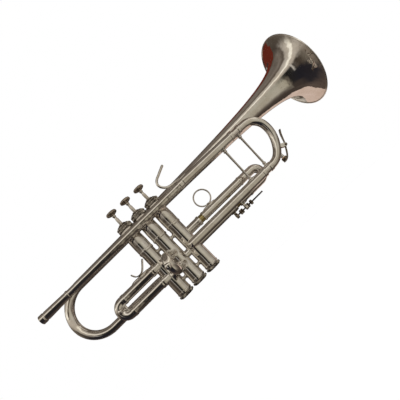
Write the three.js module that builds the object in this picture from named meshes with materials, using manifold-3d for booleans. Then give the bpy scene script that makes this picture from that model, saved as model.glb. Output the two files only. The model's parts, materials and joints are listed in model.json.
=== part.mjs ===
// A B-flat trumpet with three piston valves, as separate pieces with running gaps.
// Units are millimetres. +X points from the mouthpiece receiver to the bell, +Z runs up the
// valves to the finger buttons, and +Y points to the player's left. The origin is on the
// middle valve's axis, at the waist ring of its casing.
import * as THREE from 'three';
import { mergeVertices } from 'three/addons/utils/BufferGeometryUtils.js';
import Module from 'manifold-3d';

const wasm = await Module();
wasm.setup();

// ---- driving dimensions ----
const GAP = 0.3;

const VALVE_PITCH = 24.4;
const CASING_R = 10;
const BALUSTER_R = 10.8;
const CASING_BORE = 8.75;
const CASING_BOTTOM = -74.3;
const CASING_TOP = 37.7;
const CAP_R = 11.4;
const CAP_TOP = 47.4;
const BOSS_TOP = 48.6;
const FOOT_DEPTH = 5;
const PISTON_R = 8.45;
const PISTON_BOTTOM = -56;
const PISTON_TOP = 2;
const BARREL_TOP = 33;
const BARREL_R = 7.9;
const BARREL_BORE = 6.8;
const STEM_R = 2.4;
const BUTTON_BASE = 65;
const BUTTON_TOP = 70.8;
const BUTTON_R = 8.1;

const SLEEVE_R = 6.3;
const SLEEVE_BORE = 5.95;
const LEG_R = 5.65;
const LEG_BORE = 5.15;
const SLIDE_PITCH = 19.4;

const PIPE_Y = -18;
const RECEIVER_END = [-170.5, 24.8];
const PIPE_SEAM = [71.6, 29.3];
const UPPER_SLEEVE_Z = 29.6;
const UPPER_SLEEVE_END = 166;
const LOWER_SLEEVE_Y = -14;
const LOWER_SLEEVE_Z = -36.7;
const LOWER_SLEEVE_END = 162.6;
const MAIN_LEG_START = 96;

const BELL_Y = 20.5;
const BELL_TILT = 0.031;
const BELL_Z = 35.7;
const BELL_RIM_X = 324.5;
const BELL_RIM_R = 62;
const BELL_FLARE_X = 336;
const BELL_FLARE_POWER = 0.6;
const BELL_WALL = 0.9;
const BELL_SEAM = 1;
const BOW_CENTRE = [-119.8, -4.9];
const BOW_R = 36.8;
const BOW_TUBE_R = 6.3;
const TAIL_Y = 8.7;
const TAIL_END_X = -27.6;
const BOW_WALL = 0.8;

const FIRST_Y = -5;
const FIRST_Z = -35.8;
const FIRST_STUB_END = -36;
const FIRST_INNER_LENGTH = 58;
const FIRST_CROOK_X = -88;
const SECOND_Z = -37.7;
const SECOND_ANGLE = THREE.MathUtils.degToRad(13);
const SECOND_SLEEVE_END = 32;
const SECOND_LEG_START = 13;
const SECOND_CROOK = 45.6;
const THIRD_Y = 3;
const THIRD_Z = -30.4;
const THIRD_LEG_START = 39.4;
const THIRD_SLEEVE_ENDS = [55, 104];
const THIRD_PULLED_OUT = 6.2;
const THIRD_SEAM = 134;
const THIRD_CROOK_X = 155;

// ---- finishes ----
const finish = (color, roughness, metalness) =>
  new THREE.MeshStandardMaterial({ color, roughness, metalness });
const silver = finish('#b4ab98', 0.18, 1);
const silverDark = finish('#8f877a', 0.22, 1);
const brass = finish('#a89a55', 0.25, 1);
const monel = finish('#8d8a86', 0.3, 1);
const steel = finish('#77746f', 0.3, 1);

const trumpet = new THREE.Group();

// ---- solids ----
function solidOf(geometry, matrix) {
  const bare = geometry.index ? geometry.toNonIndexed() : geometry.clone();
  bare.deleteAttribute('normal');
  bare.deleteAttribute('uv');
  if (matrix) bare.applyMatrix4(matrix);
  const merged = mergeVertices(bare, 1e-4);
  return new wasm.Manifold(new wasm.Mesh({
    numProp: 3,
    vertProperties: new Float32Array(merged.attributes.position.array),
    triVerts: new Uint32Array(merged.index.array),
  }));
}

function geometryOf(solid) {
  const mesh = solid.getMesh();
  const geometry = new THREE.BufferGeometry();
  geometry.setAttribute('position', new THREE.BufferAttribute(new Float32Array(mesh.vertProperties), 3));
  geometry.setIndex(new THREE.BufferAttribute(new Uint32Array(mesh.triVerts), 1));
  return geometry;
}

function add(name, shape, material) {
  const geometry = shape.isBufferGeometry ? shape : geometryOf(shape);
  const mesh = new THREE.Mesh(geometry, material);
  mesh.name = name;
  trumpet.add(mesh);
  return mesh;
}

const at = (x, y, z) => new THREE.Vector3(x, y, z);

// Turns +Z onto a direction and moves the origin to a point.
function placed(point, direction) {
  const turn = new THREE.Quaternion().setFromUnitVectors(at(0, 0, 1), direction.clone().normalize());
  return new THREE.Matrix4().compose(point, turn, at(1, 1, 1));
}

// A turned solid. The profile holds [radius, height] pairs. It closes on itself where it
// leaves the axis open, and its height runs from one point along a direction.
function turned(profile, sides, point = at(0, 0, 0), direction = at(0, 0, 1)) {
  const points = profile.map(([r, h]) => new THREE.Vector2(r, h));
  if (THREE.ShapeUtils.area(points) < 0) points.reverse();
  const onAxis = profile[0][0] === 0 && profile.at(-1)[0] === 0;
  if (!onAxis) points.push(points[0].clone());
  const lathe = new THREE.LatheGeometry(points, sides);
  const upright = new THREE.Matrix4().makeRotationX(Math.PI / 2);
  return solidOf(lathe, placed(point, direction).multiply(upright));
}

const rod = (point, direction, radius, length, sides = 12) =>
  turned([[0, 0], [radius, 0], [radius, length], [0, length]], sides, point, direction);

const tube = (point, direction, outer, inner, length, sides = 16) =>
  turned([[inner, 0], [outer, 0], [outer, length], [inner, length]], sides, point, direction);

const block = (low, high) => solidOf(
  new THREE.BoxGeometry(high[0] - low[0], high[1] - low[1], high[2] - low[2]),
  new THREE.Matrix4().makeTranslation(
    (low[0] + high[0]) / 2, (low[1] + high[1]) / 2, (low[2] + high[2]) / 2),
);

// A route through a list of points, which an extrusion follows with one step for each span.
class Route extends THREE.Curve {
  constructor(stations) {
    super();
    this.stations = stations;
    this.spans = stations.length - 1;
  }

  getPoint(t) {
    const i = Math.min(Math.floor(t * this.spans + 1e-6), this.spans - 1);
    return this.stations[i].clone().lerp(this.stations[i + 1], t * this.spans - i);
  }

  getPointAt(u) {
    return this.getPoint(u);
  }

  getTangentAt(u) {
    const i = Math.round(u * this.spans);
    const span = (from) => this.stations[from + 1].clone().sub(this.stations[from]).normalize();
    return span(Math.max(i - 1, 0)).add(span(Math.min(i, this.spans - 1))).normalize();
  }
}

// A round tube, or a rod when no bore is given, bent along a list of points.
function bent(stations, outer, inner, sides = 12) {
  const circle = (radius) => Array.from({ length: sides }, (_, i) => {
    const angle = 2 * Math.PI * i / sides;
    return new THREE.Vector2(radius * Math.cos(angle), radius * Math.sin(angle));
  });
  const section = new THREE.Shape(circle(outer));
  if (inner) section.holes.push(new THREE.Path(circle(inner).reverse()));
  const options = { steps: stations.length - 1, extrudePath: new Route(stations) };
  return solidOf(new THREE.ExtrudeGeometry(section, options));
}

// A flat plate with an outline in X and Z, and its thickness in Y from low to high.
function plate(outline, low, high) {
  const shape = new THREE.Shape(outline.map(([x, z]) => new THREE.Vector2(x, z)));
  const flat = new THREE.ExtrudeGeometry(shape, { depth: high - low, bevelEnabled: false });
  const upright = new THREE.Matrix4().makeRotationX(Math.PI / 2);
  const move = new THREE.Matrix4().makeTranslation(0, high, 0);
  return solidOf(flat, move.multiply(upright));
}

// The route of a U bend: two straight legs and a half circle, in the plane of out and up.
function uBend(centre, out, up, radius, leg, turns = 8) {
  const point = (along, height) => centre.clone()
    .addScaledVector(out, along)
    .addScaledVector(up, height);
  const arc = Array.from({ length: turns + 1 }, (_, i) => {
    const angle = Math.PI * (0.5 - i / turns);
    return point(radius * Math.cos(angle), radius * Math.sin(angle));
  });
  return [point(-leg, radius), ...arc, point(-leg, -radius)];
}

const PLUS_X = at(1, 0, 0);
const MINUS_X = at(-1, 0, 0);
const UP = at(0, 0, 1);
const valveX = [-VALVE_PITCH, 0, VALVE_PITCH];

const casingSpace = (i, extra = GAP) =>
  rod(at(valveX[i], 0, CASING_BOTTOM - 1), UP, CASING_R + extra, CASING_TOP - CASING_BOTTOM, 20);

// ---- leadpipe and receiver: set at a small angle to the slides ----
const pipeStart = at(RECEIVER_END[0], PIPE_Y, RECEIVER_END[1]);
const pipeEnd = at(PIPE_SEAM[0], PIPE_Y, PIPE_SEAM[1]);
const pipeDirection = pipeEnd.clone().sub(pipeStart).normalize();
const PIPE_LENGTH = pipeEnd.distanceTo(pipeStart);
const RECEIVER_LENGTH = 44;

add('mouthpiece_receiver', turned([
  [4.9, 0], [6.1, 0], [6.1, 6.4], [5.3, 7], [5.3, 7.8], [5.8, 8.4],
  [5.0, RECEIVER_LENGTH - 2.6], [5.5, RECEIVER_LENGTH - 2], [5.5, RECEIVER_LENGTH],
  [4.1, RECEIVER_LENGTH], [4.3, 24],
], 16, pipeStart, pipeDirection), silver);

add('leadpipe', turned([
  [4.1, RECEIVER_LENGTH + GAP], [4.75, RECEIVER_LENGTH + GAP], [5.2, 85], [5.75, 128],
  [5.85, PIPE_LENGTH - GAP], [5.2, PIPE_LENGTH - GAP], [5.1, 128],
], 16, pipeStart, pipeDirection), silver);

// ---- main tuning slide sleeves ----
add('main_sleeve_upper', turned([
  [SLEEVE_BORE, 0], [SLEEVE_R, 0], [SLEEVE_R, UPPER_SLEEVE_END - PIPE_SEAM[0] - 5],
  [SLEEVE_R + 0.4, UPPER_SLEEVE_END - PIPE_SEAM[0] - 5], [SLEEVE_R + 0.4, UPPER_SLEEVE_END - PIPE_SEAM[0]],
  [SLEEVE_BORE, UPPER_SLEEVE_END - PIPE_SEAM[0]],
], 16, at(PIPE_SEAM[0] + GAP, PIPE_Y, UPPER_SLEEVE_Z), PLUS_X), silver);

const lowerStart = at(valveX[2], LOWER_SLEEVE_Y, LOWER_SLEEVE_Z);
const lowerLength = LOWER_SLEEVE_END - valveX[2];
const elbow = solidOf(
  new THREE.SphereGeometry(SLEEVE_R, 16, 10),
  new THREE.Matrix4().makeTranslation(lowerStart.x, lowerStart.y, lowerStart.z),
);
const lowerSleeve = rod(lowerStart, PLUS_X, SLEEVE_R, lowerLength, 16)
  .add(elbow)
  .subtract(rod(at(valveX[2] + 12, LOWER_SLEEVE_Y, LOWER_SLEEVE_Z), PLUS_X, SLEEVE_BORE, lowerLength, 16))
  .subtract(casingSpace(2));
add('main_sleeve_lower', lowerSleeve, silver);

// A turned strut between two tubes, with a flared foot at each end.
function strut(from, to, waist, flare, tubes) {
  const along = to.clone().sub(from);
  const length = along.length();
  let solid = turned([
    [0, 0], [flare, 0], [flare, 5.5], [waist, 12], [waist * 0.85, length / 2],
    [waist, length - 12], [flare, length - 5.5], [flare, length], [0, length],
  ], 12, from, along);
  for (const cut of tubes) solid = solid.subtract(cut);
  return solid;
}

const upperSpace = (radius) => rod(at(60, PIPE_Y, UPPER_SLEEVE_Z), PLUS_X, radius, 140, 16);
const lowerSpace = (radius) => rod(at(60, LOWER_SLEEVE_Y, LOWER_SLEEVE_Z), PLUS_X, radius, 140, 16);
add('sleeve_brace', strut(
  at(142.6, PIPE_Y, UPPER_SLEEVE_Z), at(140.2, LOWER_SLEEVE_Y, LOWER_SLEEVE_Z), 1.7, 2.8,
  [upperSpace(SLEEVE_R + GAP), lowerSpace(SLEEVE_R + GAP)],
), silver);

// ---- bell: a horn curve that opens from the bow to the rim ----
const bellScale = BELL_RIM_R * (BELL_FLARE_X - BELL_RIM_X) ** BELL_FLARE_POWER;
const bellRadius = (x) => bellScale * (BELL_FLARE_X - x) ** -BELL_FLARE_POWER;
const bellStart = at(BOW_CENTRE[0], BELL_Y, BELL_Z + BELL_TILT * BOW_CENTRE[0]);
const bellDirection = at(1, 0, BELL_TILT).normalize();
const bellStations = [
  BOW_CENTRE[0] + BELL_SEAM, 0, 110, 180, 230, 262, 283, 298, 309, 317, 322, BELL_RIM_X,
];
const bellOutside = bellStations.map((x) => [bellRadius(x), x - BOW_CENTRE[0]]);
const bellInside = bellStations.toReversed().map((x) => [bellRadius(x) - BELL_WALL, x - BOW_CENTRE[0]]);
const rimBead = [[BELL_RIM_R + 0.4, BELL_RIM_X + 0.9 - BOW_CENTRE[0]]];
add('bell', turned([...bellOutside, ...rimBead, ...bellInside], 28, bellStart, bellDirection), silver);

// The bow turns down from the bell, comes in towards the valves and enters the first casing.
const bowTop = bellStart.z - BOW_CENTRE[1];
const BOW_STEPS = 12;
const bowArc = Array.from({ length: BOW_STEPS + 1 }, (_, i) => {
  const angle = Math.PI * (0.5 + i / BOW_STEPS);
  const blend = (1 - Math.cos(Math.PI * i / BOW_STEPS)) / 2;
  const radius = THREE.MathUtils.lerp(bowTop, BOW_R, Math.min(1, 2 * blend));
  return at(
    BOW_CENTRE[0] + radius * Math.cos(angle),
    THREE.MathUtils.lerp(BELL_Y, TAIL_Y, blend),
    BOW_CENTRE[1] + radius * Math.sin(angle),
  );
});
const tailZ = bowArc.at(-1).z;
const tailEnd = at(TAIL_END_X, TAIL_Y, tailZ);
const bow = bent([...bowArc, tailEnd], BOW_TUBE_R, BOW_TUBE_R - BOW_WALL);
add('bell_bow', bow.subtract(casingSpace(0)), silver);

// ---- struts between the leadpipe and the bell ----
const pipeAt = (x) => pipeStart.clone().addScaledVector(pipeDirection, (x - pipeStart.x) / pipeDirection.x);
const bellAt = (x) => at(x, BELL_Y, BELL_Z + BELL_TILT * x);
for (const [name, x, pipeR] of [['bell_brace_rear', -50, 6.1], ['bell_brace_front', 52, 6.2]]) {
  const from = pipeAt(x);
  const to = bellAt(x);
  add(name, strut(from, to, 1.8, 2.9, [
    rod(pipeStart, pipeDirection, pipeR, PIPE_LENGTH, 16),
    rod(bellStart, bellDirection, bellRadius(x) + 0.6, 240, 24),
  ]), silver);
}

// ---- finger hook on the leadpipe ----
const hookRoute = [
  at(72, PIPE_Y, 37.0), at(60, PIPE_Y, 37.2), at(51.5, PIPE_Y - 1, 38.8), at(46.2, PIPE_Y - 2, 44),
  at(45.2, PIPE_Y - 2, 49.6), at(48.4, PIPE_Y - 2, 54.6), at(56, PIPE_Y - 2, 58.8),
  at(67, PIPE_Y - 2, 64.2),
];
const hook = bent(hookRoute, 1.8, 0, 8)
  .add(block([60.5, PIPE_Y - 3.6, 32.5], [84.5, PIPE_Y + 3.6, 37.2]))
  .subtract(rod(pipeStart, pipeDirection, 6.2, PIPE_LENGTH, 16))
  .subtract(upperSpace(SLEEVE_R + GAP));
add('finger_hook', hook, silver);

// ---- valve casings, caps, pistons and buttons ----
const across = (i, y, z, radius, direction) => rod(at(valveX[i], y, z), direction, radius, 14, 10);
const firstZ = [FIRST_Z + SLIDE_PITCH / 2, FIRST_Z - SLIDE_PITCH / 2];
const secondZ = [SECOND_Z + SLIDE_PITCH / 2, SECOND_Z - SLIDE_PITCH / 2];
const thirdZ = [THIRD_Z + SLIDE_PITCH / 2, THIRD_Z - SLIDE_PITCH / 2];
const secondOut = at(-Math.sin(SECOND_ANGLE), -Math.cos(SECOND_ANGLE), 0);
const CROSSOVER_12_Z = -26;
const CROSSOVER_23_Z = -41;
const PORT_R = 4.6;
const CROSSOVER_PORT_R = 3.5;
const ports = [
  [...firstZ.map((z) => across(0, FIRST_Y, z, PORT_R, MINUS_X)),
    across(0, TAIL_Y - 3, tailZ, PORT_R, MINUS_X), across(0, 0, CROSSOVER_12_Z, CROSSOVER_PORT_R, PLUS_X)],
  [...secondZ.map((z) => across(1, 0, z, PORT_R, secondOut)),
    across(1, 0, CROSSOVER_12_Z, CROSSOVER_PORT_R, MINUS_X),
    across(1, 0, CROSSOVER_23_Z, CROSSOVER_PORT_R, PLUS_X)],
  [...thirdZ.map((z) => across(2, THIRD_Y, z, PORT_R, PLUS_X)),
    across(2, 0, CROSSOVER_23_Z, CROSSOVER_PORT_R, MINUS_X),
    across(2, 0, LOWER_SLEEVE_Z, PORT_R, at(0, -1, 0))],
];

const casingProfile = [
  [CASING_BORE, CASING_BOTTOM], [CASING_R, CASING_BOTTOM], [CASING_R, -2], [BALUSTER_R, -1.4],
  [BALUSTER_R, 12], [CASING_R + 0.3, 28], [CASING_R, CASING_TOP], [CASING_BORE, CASING_TOP],
];
const topCapProfile = [
  [CASING_BORE, CASING_TOP + GAP], [CAP_R, CASING_TOP + GAP], [CAP_R, 44.4], [CAP_R - 1.4, 45.4],
  [8, CAP_TOP], [4.9, CAP_TOP], [4.9, BOSS_TOP], [STEM_R + 0.4, BOSS_TOP], [STEM_R + 0.4, 44.6],
  [CASING_BORE, 43.6],
];
const bottomCapProfile = [
  [2.4, CASING_BOTTOM - GAP - 2], [8.6, CASING_BOTTOM - GAP], [CAP_R, CASING_BOTTOM - GAP],
  [CAP_R, CASING_BOTTOM - 3], [CAP_R - 2.4, CASING_BOTTOM - FOOT_DEPTH],
  [3, CASING_BOTTOM - FOOT_DEPTH + 0.6], [2.4, CASING_BOTTOM - FOOT_DEPTH + 0.6],
];
const stemProfile = [
  [0, BARREL_TOP + GAP], [STEM_R, BARREL_TOP + GAP], [STEM_R, 58], [STEM_R - 0.5, 60.5],
  [STEM_R, 63], [STEM_R, BUTTON_BASE - GAP], [0, BUTTON_BASE - GAP],
];
const buttonProfile = [
  [0, BUTTON_BASE], [5.6, BUTTON_BASE], [BUTTON_R, BUTTON_BASE + 1.6], [BUTTON_R, BUTTON_TOP - 1.6],
  [6.6, BUTTON_TOP - 0.4], [0, BUTTON_TOP],
];
const pistonProfile = [
  [0, PISTON_BOTTOM], [PISTON_R, PISTON_BOTTOM], [PISTON_R, PISTON_TOP], [BARREL_R, PISTON_TOP],
  [BARREL_R, BARREL_TOP], [0, BARREL_TOP],
];
const GUIDE_LOW = 3;
const GUIDE_HIGH = 5.4;
const SPRING_LOW = 6.4;
const SPRING_HIGH = 30.6;
const SPRING_R = 5.3;
const SPRING_TURNS = 5;
const SPRING_STEPS = 7;

const helix = (x) => Array.from({ length: SPRING_TURNS * SPRING_STEPS + 1 }, (_, i) => {
  const angle = 2 * Math.PI * i / SPRING_STEPS;
  const z = THREE.MathUtils.lerp(SPRING_LOW, SPRING_HIGH, i / (SPRING_TURNS * SPRING_STEPS));
  return at(x + SPRING_R * Math.cos(angle), SPRING_R * Math.sin(angle), z);
});

for (let i = 0; i < 3; i += 1) {
  const number = i + 1;
  const x = valveX[i];
  const axis = at(x, 0, 0);
  const casing = ports[i].reduce((solid, port) => solid.subtract(port), turned(casingProfile, 20, axis));
  add(`valve_casing_${number}`, casing, silver);
  add(`top_cap_${number}`, turned(topCapProfile, 18, axis), silver);
  add(`bottom_cap_${number}`, turned(bottomCapProfile, 18, axis), silver);

  const barrelSpace = rod(at(x, 0, PISTON_TOP + 0.2), UP, BARREL_BORE, BARREL_TOP - PISTON_TOP - 1.6, 16);
  const slot = block([x - 2, -PISTON_R - 1, PISTON_TOP + 0.6], [x + 2, PISTON_R + 1, GUIDE_HIGH + 17]);
  const portRows = [-46, -32, -18].map((z) =>
    rod(at(x - 10, 0, z), at(1, 0, z === -32 ? 0.5 : 0), 4, 22, 10));
  let piston = turned(pistonProfile, 20, axis).subtract(barrelSpace).subtract(slot);
  for (const row of portRows) piston = piston.subtract(row);
  add(`piston_${number}`, piston, monel);
  add(`piston_stem_${number}`, turned(stemProfile, 12, axis), silver);
  add(`finger_button_${number}`, turned(buttonProfile, 18, axis), silverDark);
  const guide = block([x - 1.7, -CASING_BORE + GAP, GUIDE_LOW], [x + 1.7, CASING_BORE - GAP, GUIDE_HIGH]);
  add(`valve_guide_${number}`, guide, brass);
  add(`valve_spring_${number}`, bent(helix(x), 0.55, 0, 4), steel);
}

// ---- crossover tubes and struts in the two gaps between the casings ----
const gapX = [-VALVE_PITCH / 2, VALVE_PITCH / 2];
const between = (i, z, radius, sides) => rod(at(valveX[i], 0, z), PLUS_X, radius, VALVE_PITCH, sides)
  .subtract(casingSpace(i))
  .subtract(casingSpace(i + 1));
add('crossover_tube_12', between(0, CROSSOVER_12_Z, 5.2, 14), silver);
add('crossover_tube_23', between(1, CROSSOVER_23_Z, 5.2, 14), silver);
for (const i of gapX.keys()) {
  add(`casing_strut_upper_${i + 1}${i + 2}`, between(i, -11.5, 2.6, 10), silver);
  add(`casing_strut_lower_${i + 1}${i + 2}`, between(i, -60.5, 2.6, 10), silver);
}

// ---- first valve slide: outer tubes that ride over fixed inner tubes ----
const pair = ['upper', 'lower'];
const FIRST_STUB_LENGTH = valveX[0] - FIRST_STUB_END;
for (const k of pair.keys()) {
  const z = firstZ[k];
  const stub = turned([
    [LEG_BORE, 0], [SLEEVE_R, 0], [SLEEVE_R, FIRST_STUB_LENGTH], [LEG_R, FIRST_STUB_LENGTH],
    [LEG_R, FIRST_INNER_LENGTH], [LEG_BORE, FIRST_INNER_LENGTH],
  ], 14, at(valveX[0], FIRST_Y, z), MINUS_X).subtract(casingSpace(0));
  add(`first_slide_inner_${pair[k]}`, stub, silver);
  const outerStart = at(FIRST_STUB_END - GAP, FIRST_Y, z);
  const outerLength = FIRST_STUB_END - GAP - FIRST_CROOK_X;
  const outer = tube(outerStart, MINUS_X, SLEEVE_R, SLEEVE_BORE, outerLength, 14);
  add(`first_slide_outer_${pair[k]}`, outer, silver);
}
const firstU = uBend(at(FIRST_CROOK_X - 2, FIRST_Y, FIRST_Z), MINUS_X, UP, SLIDE_PITCH / 2, 2 - GAP);
const firstKnob = turned([
  [0, 0], [1.6, 0], [1.6, 10], [3.4, 11], [3.4, 13.5], [1.6, 14.6], [0, 14.6],
], 10, at(FIRST_CROOK_X - 2.8, FIRST_Y, FIRST_Z), at(-0.55, -0.8, 0.1));
const knobStand = block(
  [FIRST_CROOK_X - 4, FIRST_Y - 1.2, FIRST_Z - 3.95], [FIRST_CROOK_X - 1.6, FIRST_Y + 1.2, FIRST_Z + 3.95]);
add('first_slide_crook', bent(firstU, SLEEVE_R, SLEEVE_R - 0.9).add(knobStand).add(firstKnob), silver);

// The thumb saddle is a bent strip on a base that hugs the upper outer tube.
const saddleStrip = plate([
  [-61, -11], [-56.4, -18.4], [-47.4, -18.4], [-36, -5.2], [-37.2, -4.4], [-48.2, -16.8],
  [-55.5, -16.8], [-59.7, -10.2],
], FIRST_Y - 5.5, FIRST_Y + 5.5);
const saddleBase = block(
  [-67, FIRST_Y - 3.4, firstZ[0] + 3],
  [-38, FIRST_Y + 3.4, firstZ[0] + SLEEVE_R + 1.6],
).subtract(rod(at(-30, FIRST_Y, firstZ[0]), MINUS_X, SLEEVE_R + GAP, 60, 14));
add('thumb_saddle', saddleStrip.add(saddleBase), silver);

// ---- second valve slide: a short slide that points at the player's right ----
for (const k of pair.keys()) {
  const start = at(valveX[1], 0, secondZ[k]);
  const sleeve = tube(start, secondOut, SLEEVE_R, SLEEVE_BORE, SECOND_SLEEVE_END, 14);
  add(`second_slide_sleeve_${pair[k]}`, sleeve.subtract(casingSpace(1)), silver);
}
const secondCentre = at(0, 0, SECOND_Z).addScaledVector(secondOut, SECOND_CROOK);
const SECOND_LEG = SECOND_CROOK - SECOND_LEG_START;
const SHELL_LEG = SECOND_CROOK - SECOND_SLEEVE_END - GAP;
const secondU = (leg) => uBend(secondCentre, secondOut, UP, SLIDE_PITCH / 2, leg);
const secondShell = bent(secondU(SHELL_LEG), SLEEVE_R, LEG_BORE);
const secondKnob = turned([
  [0, 0], [1.5, 0], [1.5, 4], [3.6, 5], [3.6, 7.4], [2, 8.4], [0, 8.4],
], 10, secondCentre.clone().addScaledVector(secondOut, SLIDE_PITCH / 2 + LEG_R), secondOut);
let secondCrook = secondShell.add(secondKnob);
for (const z of secondZ) {
  const legStart = at(0, 0, z).addScaledVector(secondOut, SECOND_LEG_START);
  const leg = tube(legStart, secondOut, LEG_R, LEG_BORE + 0.1, SECOND_LEG - SHELL_LEG + 1, 12);
  secondCrook = secondCrook.add(leg);
}
add('second_slide_crook', secondCrook, silver);

// ---- third valve slide ----
for (const k of pair.keys()) {
  const z = thirdZ[k];
  const sleeveLength = THIRD_SLEEVE_ENDS[k] - valveX[2];
  const sleeve = tube(at(valveX[2], THIRD_Y, z), PLUS_X, SLEEVE_R, SLEEVE_BORE, sleeveLength, 14);
  add(`third_slide_sleeve_${pair[k]}`, sleeve.subtract(casingSpace(2)), silver);
  const shoulder = THIRD_SLEEVE_ENDS[k] + THIRD_PULLED_OUT - THIRD_LEG_START;
  const leg = turned([
    [LEG_BORE, 0], [LEG_R, 0], [LEG_R, shoulder], [SLEEVE_R - 0.1, shoulder],
    [SLEEVE_R - 0.1, THIRD_SEAM - THIRD_LEG_START], [LEG_BORE, THIRD_SEAM - THIRD_LEG_START],
  ], 14, at(THIRD_LEG_START, THIRD_Y, z), PLUS_X);
  add(`third_slide_leg_${pair[k]}`, leg, brass);
}
const thirdU = uBend(
  at(THIRD_CROOK_X, THIRD_Y, THIRD_Z), PLUS_X, UP, SLIDE_PITCH / 2, THIRD_CROOK_X - THIRD_SEAM - GAP);
add('third_slide_crook', bent(thirdU, SLEEVE_R, LEG_BORE), silver);

// The finger ring is a wire ring that stands on a foot on the upper leg.
const RING_X = 78.4;
const RING_Z = -0.9;
const RING_R = 12;
const RING_WIRE = 1;
const ringFoot = block(
  [RING_X - 11, THIRD_Y - 2.6, thirdZ[0] + 3.5],
  [RING_X + 11, THIRD_Y + 2.6, thirdZ[0] + SLEEVE_R + 1.4],
).subtract(rod(at(40, THIRD_Y, thirdZ[0]), PLUS_X, SLEEVE_R - 0.1 + GAP, 100, 14));
const ringGeometry = new THREE.TorusGeometry(RING_R, RING_WIRE, 6, 24);
const ring = solidOf(ringGeometry, new THREE.Matrix4().makeTranslation(RING_X, THIRD_Y, RING_Z)
  .multiply(new THREE.Matrix4().makeRotationX(Math.PI / 2)));
const ringPost = rod(at(RING_X, THIRD_Y, thirdZ[0] + SLEEVE_R + 0.6), UP, 2, 2.4, 10);
add('third_slide_ring', ring.add(ringFoot).add(ringPost), silver);

// The stop rod is screwed into a post under the fixed lower sleeve. The lug on the slide
// runs along the rod between its lock nuts.
const ROD_Z = thirdZ[1] - 12.4;
const ROD_START = 95.4;
const ROD_END = 145.3;
const LUG_X = [111.4, 115.2];
const POST_X = [93.6, 97.2];
const POST_BOTTOM = ROD_Z - 6;
const lowerThirdSpace = rod(at(40, THIRD_Y, thirdZ[1]), PLUS_X, SLEEVE_R + GAP, 110, 14);
const HANGER_TOP = thirdZ[1] - 5;
const HANGER_FOOT = 6;
const hanger = (x) => block([x[0], THIRD_Y - 1.8, POST_BOTTOM], [x[1], THIRD_Y + 1.8, HANGER_TOP])
  .add(block(
    [x[0], THIRD_Y - 2.8, thirdZ[1] - SLEEVE_R - 1.4],
    [x[0] + HANGER_FOOT, THIRD_Y + 2.8, HANGER_TOP],
  ))
  .subtract(lowerThirdSpace);
// Each nut is [its near face, its length].
const nuts = [[101.2, 3.2], [104.6, 2.4], [LUG_X[1] + 0.6, 2.6], [LUG_X[1] + 6, 3.4]];
let stopRod = rod(at(ROD_START, THIRD_Y, ROD_Z), PLUS_X, 0.9, ROD_END - ROD_START, 8).add(hanger(POST_X));
for (const [x, length] of nuts) {
  stopRod = stopRod.add(rod(at(x, THIRD_Y, ROD_Z), PLUS_X, 3.2, length, 10));
}
add('third_slide_stop_rod', stopRod, silverDark);
const rodHole = rod(at(ROD_START, THIRD_Y, ROD_Z), PLUS_X, 1.3, ROD_END - ROD_START, 8);
add('third_slide_stop_lug', hanger(LUG_X).subtract(rodHole), silver);

// ---- main tuning slide: two legs and an egg-shaped crook in one piece ----
const crookY = (z) => THREE.MathUtils.mapLinear(z, LOWER_SLEEVE_Z, UPPER_SLEEVE_Z, LOWER_SLEEVE_Y, PIPE_Y);
const crookRoute = [
  [182, UPPER_SLEEVE_Z], [190.5, 29.2], [197.6, 26.8], [204, 21.4], [208.2, 13.8], [209.4, 5],
  [208.4, -4], [205.4, -13], [200, -22.4], [193.6, -29.8], [186.4, -34.6], [177, LOWER_SLEEVE_Z],
].map(([x, z]) => at(x, crookY(z), z));
const mainRoute = [
  at(MAIN_LEG_START, PIPE_Y, UPPER_SLEEVE_Z),
  ...crookRoute,
  at(MAIN_LEG_START, LOWER_SLEEVE_Y, LOWER_SLEEVE_Z),
];

// Water key parts on the crook: the nipple under it, and the two lugs that hold the pivot.
const KEY_Y = -15;
const NIPPLE_X = 194.6;
const NIPPLE_BOTTOM = -39.8;
const PIVOT = [209.6, -30];
const nipple = rod(at(NIPPLE_X, KEY_Y, NIPPLE_BOTTOM), UP, 2.2, 9, 10);
const nippleBore = rod(at(NIPPLE_X, KEY_Y, NIPPLE_BOTTOM - 1), UP, 1.1, 12, 8);
const pivotRod = (radius, halfLength) =>
  rod(at(PIVOT[0], KEY_Y - halfLength, PIVOT[1]), at(0, 1, 0), radius, 2 * halfLength, 10);
const lugOutline = [
  [201, -22], [204.6, -20], [211.6, -28.4], [211.6, -31.6], [208.4, -32.2], [199.8, -28.6],
];
const lugs = [[-3.6, -1.9], [1.9, 3.6]].map(([low, high]) => plate(lugOutline, KEY_Y + low, KEY_Y + high));
const mainBore = bent(mainRoute, LEG_BORE, 0);
const mainCrook = bent(mainRoute, LEG_R, LEG_BORE)
  .add(nipple.add(lugs[0]).add(lugs[1]).subtract(mainBore))
  .subtract(nippleBore)
  .subtract(pivotRod(1.15, 6));
add('tuning_slide_crook', mainCrook, silver);

const legSpace = (y, z) => rod(at(150, y, z), PLUS_X, LEG_R + GAP, 29, 14);
add('tuning_slide_brace', strut(
  at(172.2, PIPE_Y, UPPER_SLEEVE_Z), at(169.4, LOWER_SLEEVE_Y, LOWER_SLEEVE_Z), 1.5, 2.9,
  [legSpace(PIPE_Y, UPPER_SLEEVE_Z), legSpace(LOWER_SLEEVE_Y, LOWER_SLEEVE_Z)],
), silver);

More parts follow.
